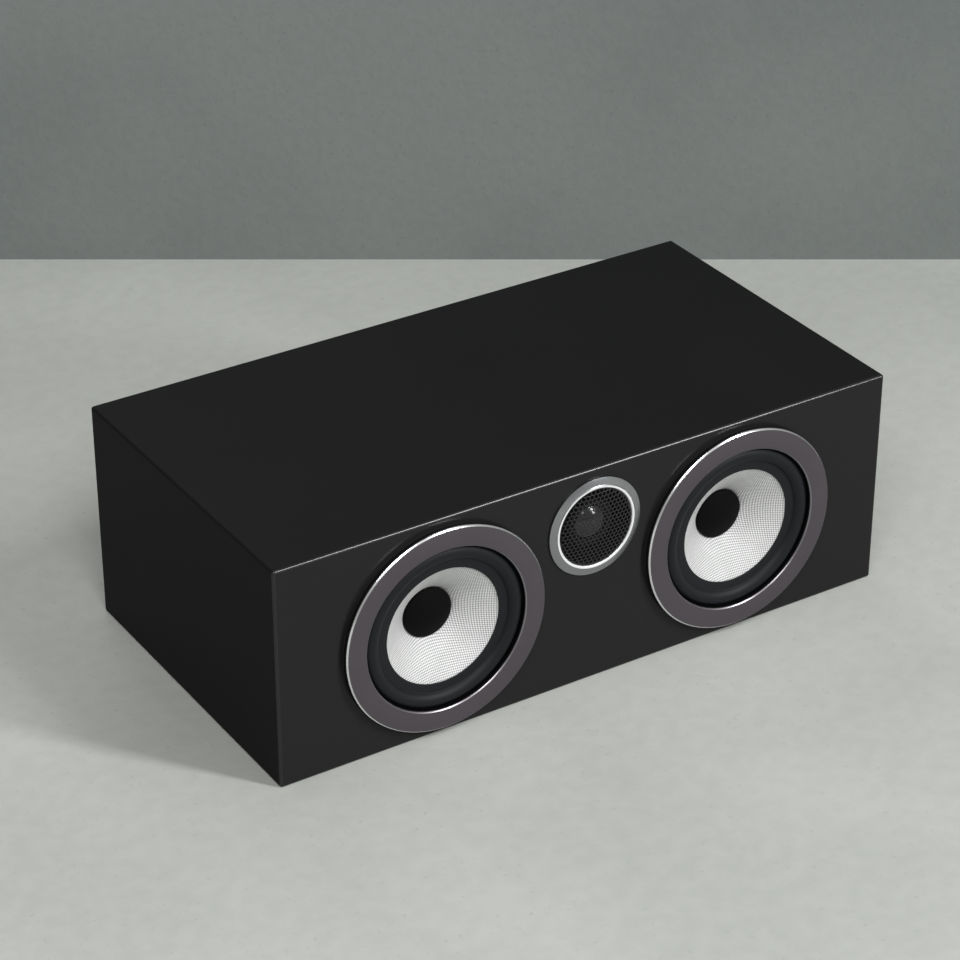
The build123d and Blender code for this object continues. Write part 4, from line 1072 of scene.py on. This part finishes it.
class SPEAKER_OT_terminal_screws(bpy.types.Operator):
    """Turn the terminal plate's countersunk screws and cut their crosses"""

    bl_idname = "speaker.terminal_screws"
    bl_label = "Terminal Screws"

    def execute(self, context):
        shape = context.scene.speaker_terminals
        low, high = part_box("terminal_screws")
        first = Vector((low.x + shape.screw_head, 0, low.z + shape.screw_head))
        span_x = high.x - low.x - 2 * shape.screw_head
        span_z = high.z - low.z - 2 * shape.screw_head
        taper = shape.screw_head - shape.screw_shank
        profile = [
            (0.0, low.y),
            (shape.screw_shank, low.y),
            (shape.screw_shank, high.y - taper),
            (shape.screw_head, high.y),
            (0.0, high.y),
        ]
        screw = turned_piece("terminal_screws_cut", first, profile)
        for turn in (0.0, math.pi / 2):
            place = first + Vector((0, high.y, 0))
            bpy.ops.mesh.primitive_cube_add(size=1.0, location=place, rotation=(0, turn, 0))
            cutter = bpy.context.object
            cutter.scale = (shape.slot_length, shape.slot_depth * 2, shape.slot_width)
            bpy.ops.object.transform_apply(location=True, rotation=True, scale=True)
            cut_away(screw, cutter)
        soften(screw, shape.softening / 4, angle=30.0)
        for offset in ((span_x, 0, 0), (0, 0, span_z)):
            apply_modifier(
                screw,
                "ARRAY",
                count=2,
                use_relative_offset=False,
                use_constant_offset=True,
                constant_offset_displace=offset,
            )
        dress(screw, "terminal_screws")
        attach(screw, "cabinet")
        return {"FINISHED"}


class SPEAKER_OT_stage(bpy.types.Operator):
    """Lay the pale floor, stand the wall, hang the lamps and place the camera"""

    bl_idname = "speaker.stage"
    bl_label = "Stage"

    camera_place = Vector((-1.0038, -1.5667, 1.1753))
    camera_yaw = 0.5658
    camera_pitch = -0.5271
    wall_distance = 2.394
    wall_width = 3.0
    wall_height = 0.42
    floor_width = 24.0
    lamp_aim = Vector((0, 0, 0.08))
    sky_tint = (0.98, 1.0, 0.98, 1.0)

    def plastered(self, name, pale, shade_tint, patch, mottle, mottling):
        """Trowelled plaster or concrete: soft clouds, a share of finer mottling, scattered dark pores."""
        finish = Finish(name)
        cloud = finish.step(finish.noise(patch, detail=6.0), start=0.34, end=0.66)
        fine = finish.step(finish.noise(mottle, detail=5.0), start=0.3, end=0.7)
        pores = finish.step(finish.noise(mottle / 3, detail=2.0), start=0.62, end=0.78)
        plain = finish.mix(cloud * (1.0 - mottling) + fine * mottling, shade_tint, pale)
        pore_tint = scaled(shade_tint, factor=0.8)
        finish.look(Base_Color=finish.mix(pores * 0.5, plain, pore_tint), Roughness=0.85)
        finish.bump(fine, distance=0.00012)
        return finish

    def plane(self, name, width, depth, place, turn):
        """A flat sheet for the stage."""
        bpy.ops.object.select_all(action="DESELECT")
        bpy.ops.mesh.primitive_plane_add(size=1.0, location=place, rotation=turn)
        sheet = bpy.context.object
        sheet.name = name
        sheet.scale = (width, depth, 1.0)
        bpy.ops.object.transform_apply(location=True, rotation=True, scale=True)
        return sheet

    def lamp(self, name, power, width, height, place):
        """Soft lamp that looks at the speaker."""
        light = bpy.data.lights.new(name, "AREA")
        light.energy = power
        light.shape = "RECTANGLE"
        light.size = width
        light.size_y = height
        holder = bpy.data.objects.new(name, light)
        holder.location = place
        holder.rotation_euler = (self.lamp_aim - place).to_track_quat("-Z", "Y").to_euler()
        bpy.context.collection.objects.link(holder)

    def execute(self, context):
        stage = context.scene.speaker_stage
        forward = Vector((math.sin(self.camera_yaw), math.cos(self.camera_yaw), 0))
        floor = self.plane("floor", self.floor_width, self.floor_width, (0, 0, 0), (0, 0, 0))
        concrete = self.plastered(
            "pale_floor", stage.floor, stage.floor_shade, patch=0.3, mottle=0.013, mottling=0.32
        )
        floor.data.materials.append(concrete.material)
        foot = self.camera_place + forward * self.wall_distance
        place = (foot.x, foot.y, self.wall_height / 2)
        upright = (math.pi / 2, 0, -self.camera_yaw)
        wall = self.plane("wall", self.wall_width, self.wall_height, place, upright)
        plaster = self.plastered(
            "grey_wall", stage.wall, stage.wall_shade, patch=0.5, mottle=0.008, mottling=0.14
        )
        # The wall is clear from behind, so a view from there still shows the speaker.
        behind = plaster.node("ShaderNodeNewGeometry", {}, {}, "Backfacing")
        clear = plaster.node("ShaderNodeBsdfTransparent", {}, {})
        front = Wire(plaster, plaster.surface.outputs[0])
        seen = plaster.node("ShaderNodeMixShader", {}, {0: behind, 1: front, 2: clear})
        plaster.feed(plaster.tree.nodes["Material Output"].inputs["Surface"], seen)
        wall.data.materials.append(plaster.material)
        self.lamp("key", stage.key_power, width=0.8, height=5.76, place=Vector((3.87, -5.46, 4.75)))
        self.lamp("fill", stage.fill_power, width=1.2, height=1.2, place=Vector((-0.95, -1.6, 2.1)))
        self.lamp("back", stage.back_power, width=1.2, height=1.2, place=Vector((0.5, 2.3, 2.4)))
        world = bpy.data.worlds.new("studio")
        context.scene.world = world
        world.use_nodes = True
        background = world.node_tree.nodes["Background"]
        background.inputs["Color"].default_value = self.sky_tint
        background.inputs["Strength"].default_value = stage.sky
        context.scene.view_settings.view_transform = "Standard"
        camera = bpy.data.objects.new("camera", bpy.data.cameras.new("camera"))
        camera.data.lens = stage.lens
        camera.location = self.camera_place
        camera.rotation_euler = (math.pi / 2 + self.camera_pitch, 0, -self.camera_yaw)
        bpy.context.collection.objects.link(camera)
        context.scene.camera = camera
        return {"FINISHED"}


class SPEAKER_PT_panel(bpy.types.Panel):
    """Sidebar list of the speaker's pieces"""

    bl_idname = "SPEAKER_PT_panel"
    bl_label = "Centre Channel Speaker"
    bl_space_type = "VIEW_3D"
    bl_region_type = "UI"
    bl_category = "Speaker"

    def draw(self, context):
        for operator in OPERATORS:
            self.layout.operator(operator.bl_idname)
        for group in GROUPS:
            settings = getattr(context.scene, group)
            box = self.layout.box()
            for key in settings.__annotations__:
                box.prop(settings, key)


OPERATORS = (
    SPEAKER_OT_finishes,
    SPEAKER_OT_trim_rings,
    SPEAKER_OT_surrounds,
    SPEAKER_OT_cones,
    SPEAKER_OT_plugs,
    SPEAKER_OT_spiders,
    SPEAKER_OT_tweeter_ring,
    SPEAKER_OT_tweeter_mesh,
    SPEAKER_OT_tweeter_dome,
    SPEAKER_OT_knobs,
    SPEAKER_OT_terminal_screws,
    SPEAKER_OT_stage,
)
GROUPS = {
    "speaker_woofer": WooferShape,
    "speaker_tweeter": TweeterShape,
    "speaker_terminals": TerminalShape,
    "speaker_colours": Colours,
    "speaker_stage": Stage,
}


def register():
    for group in GROUPS.values():
        bpy.utils.register_class(group)
    for name, group in GROUPS.items():
        setattr(bpy.types.Scene, name, bpy.props.PointerProperty(type=group))
    for kind in (*OPERATORS, SPEAKER_PT_panel):
        bpy.utils.register_class(kind)


def unregister():
    for kind in (SPEAKER_PT_panel, *reversed(OPERATORS)):
        bpy.utils.unregister_class(kind)
    for name, group in GROUPS.items():
        delattr(bpy.types.Scene, name)
        bpy.utils.unregister_class(group)


def main():
    register()
    for operator in OPERATORS:
        group, name = operator.bl_idname.split(".")
        getattr(getattr(bpy.ops, group), name)()


if __name__ == "__main__":
    main()
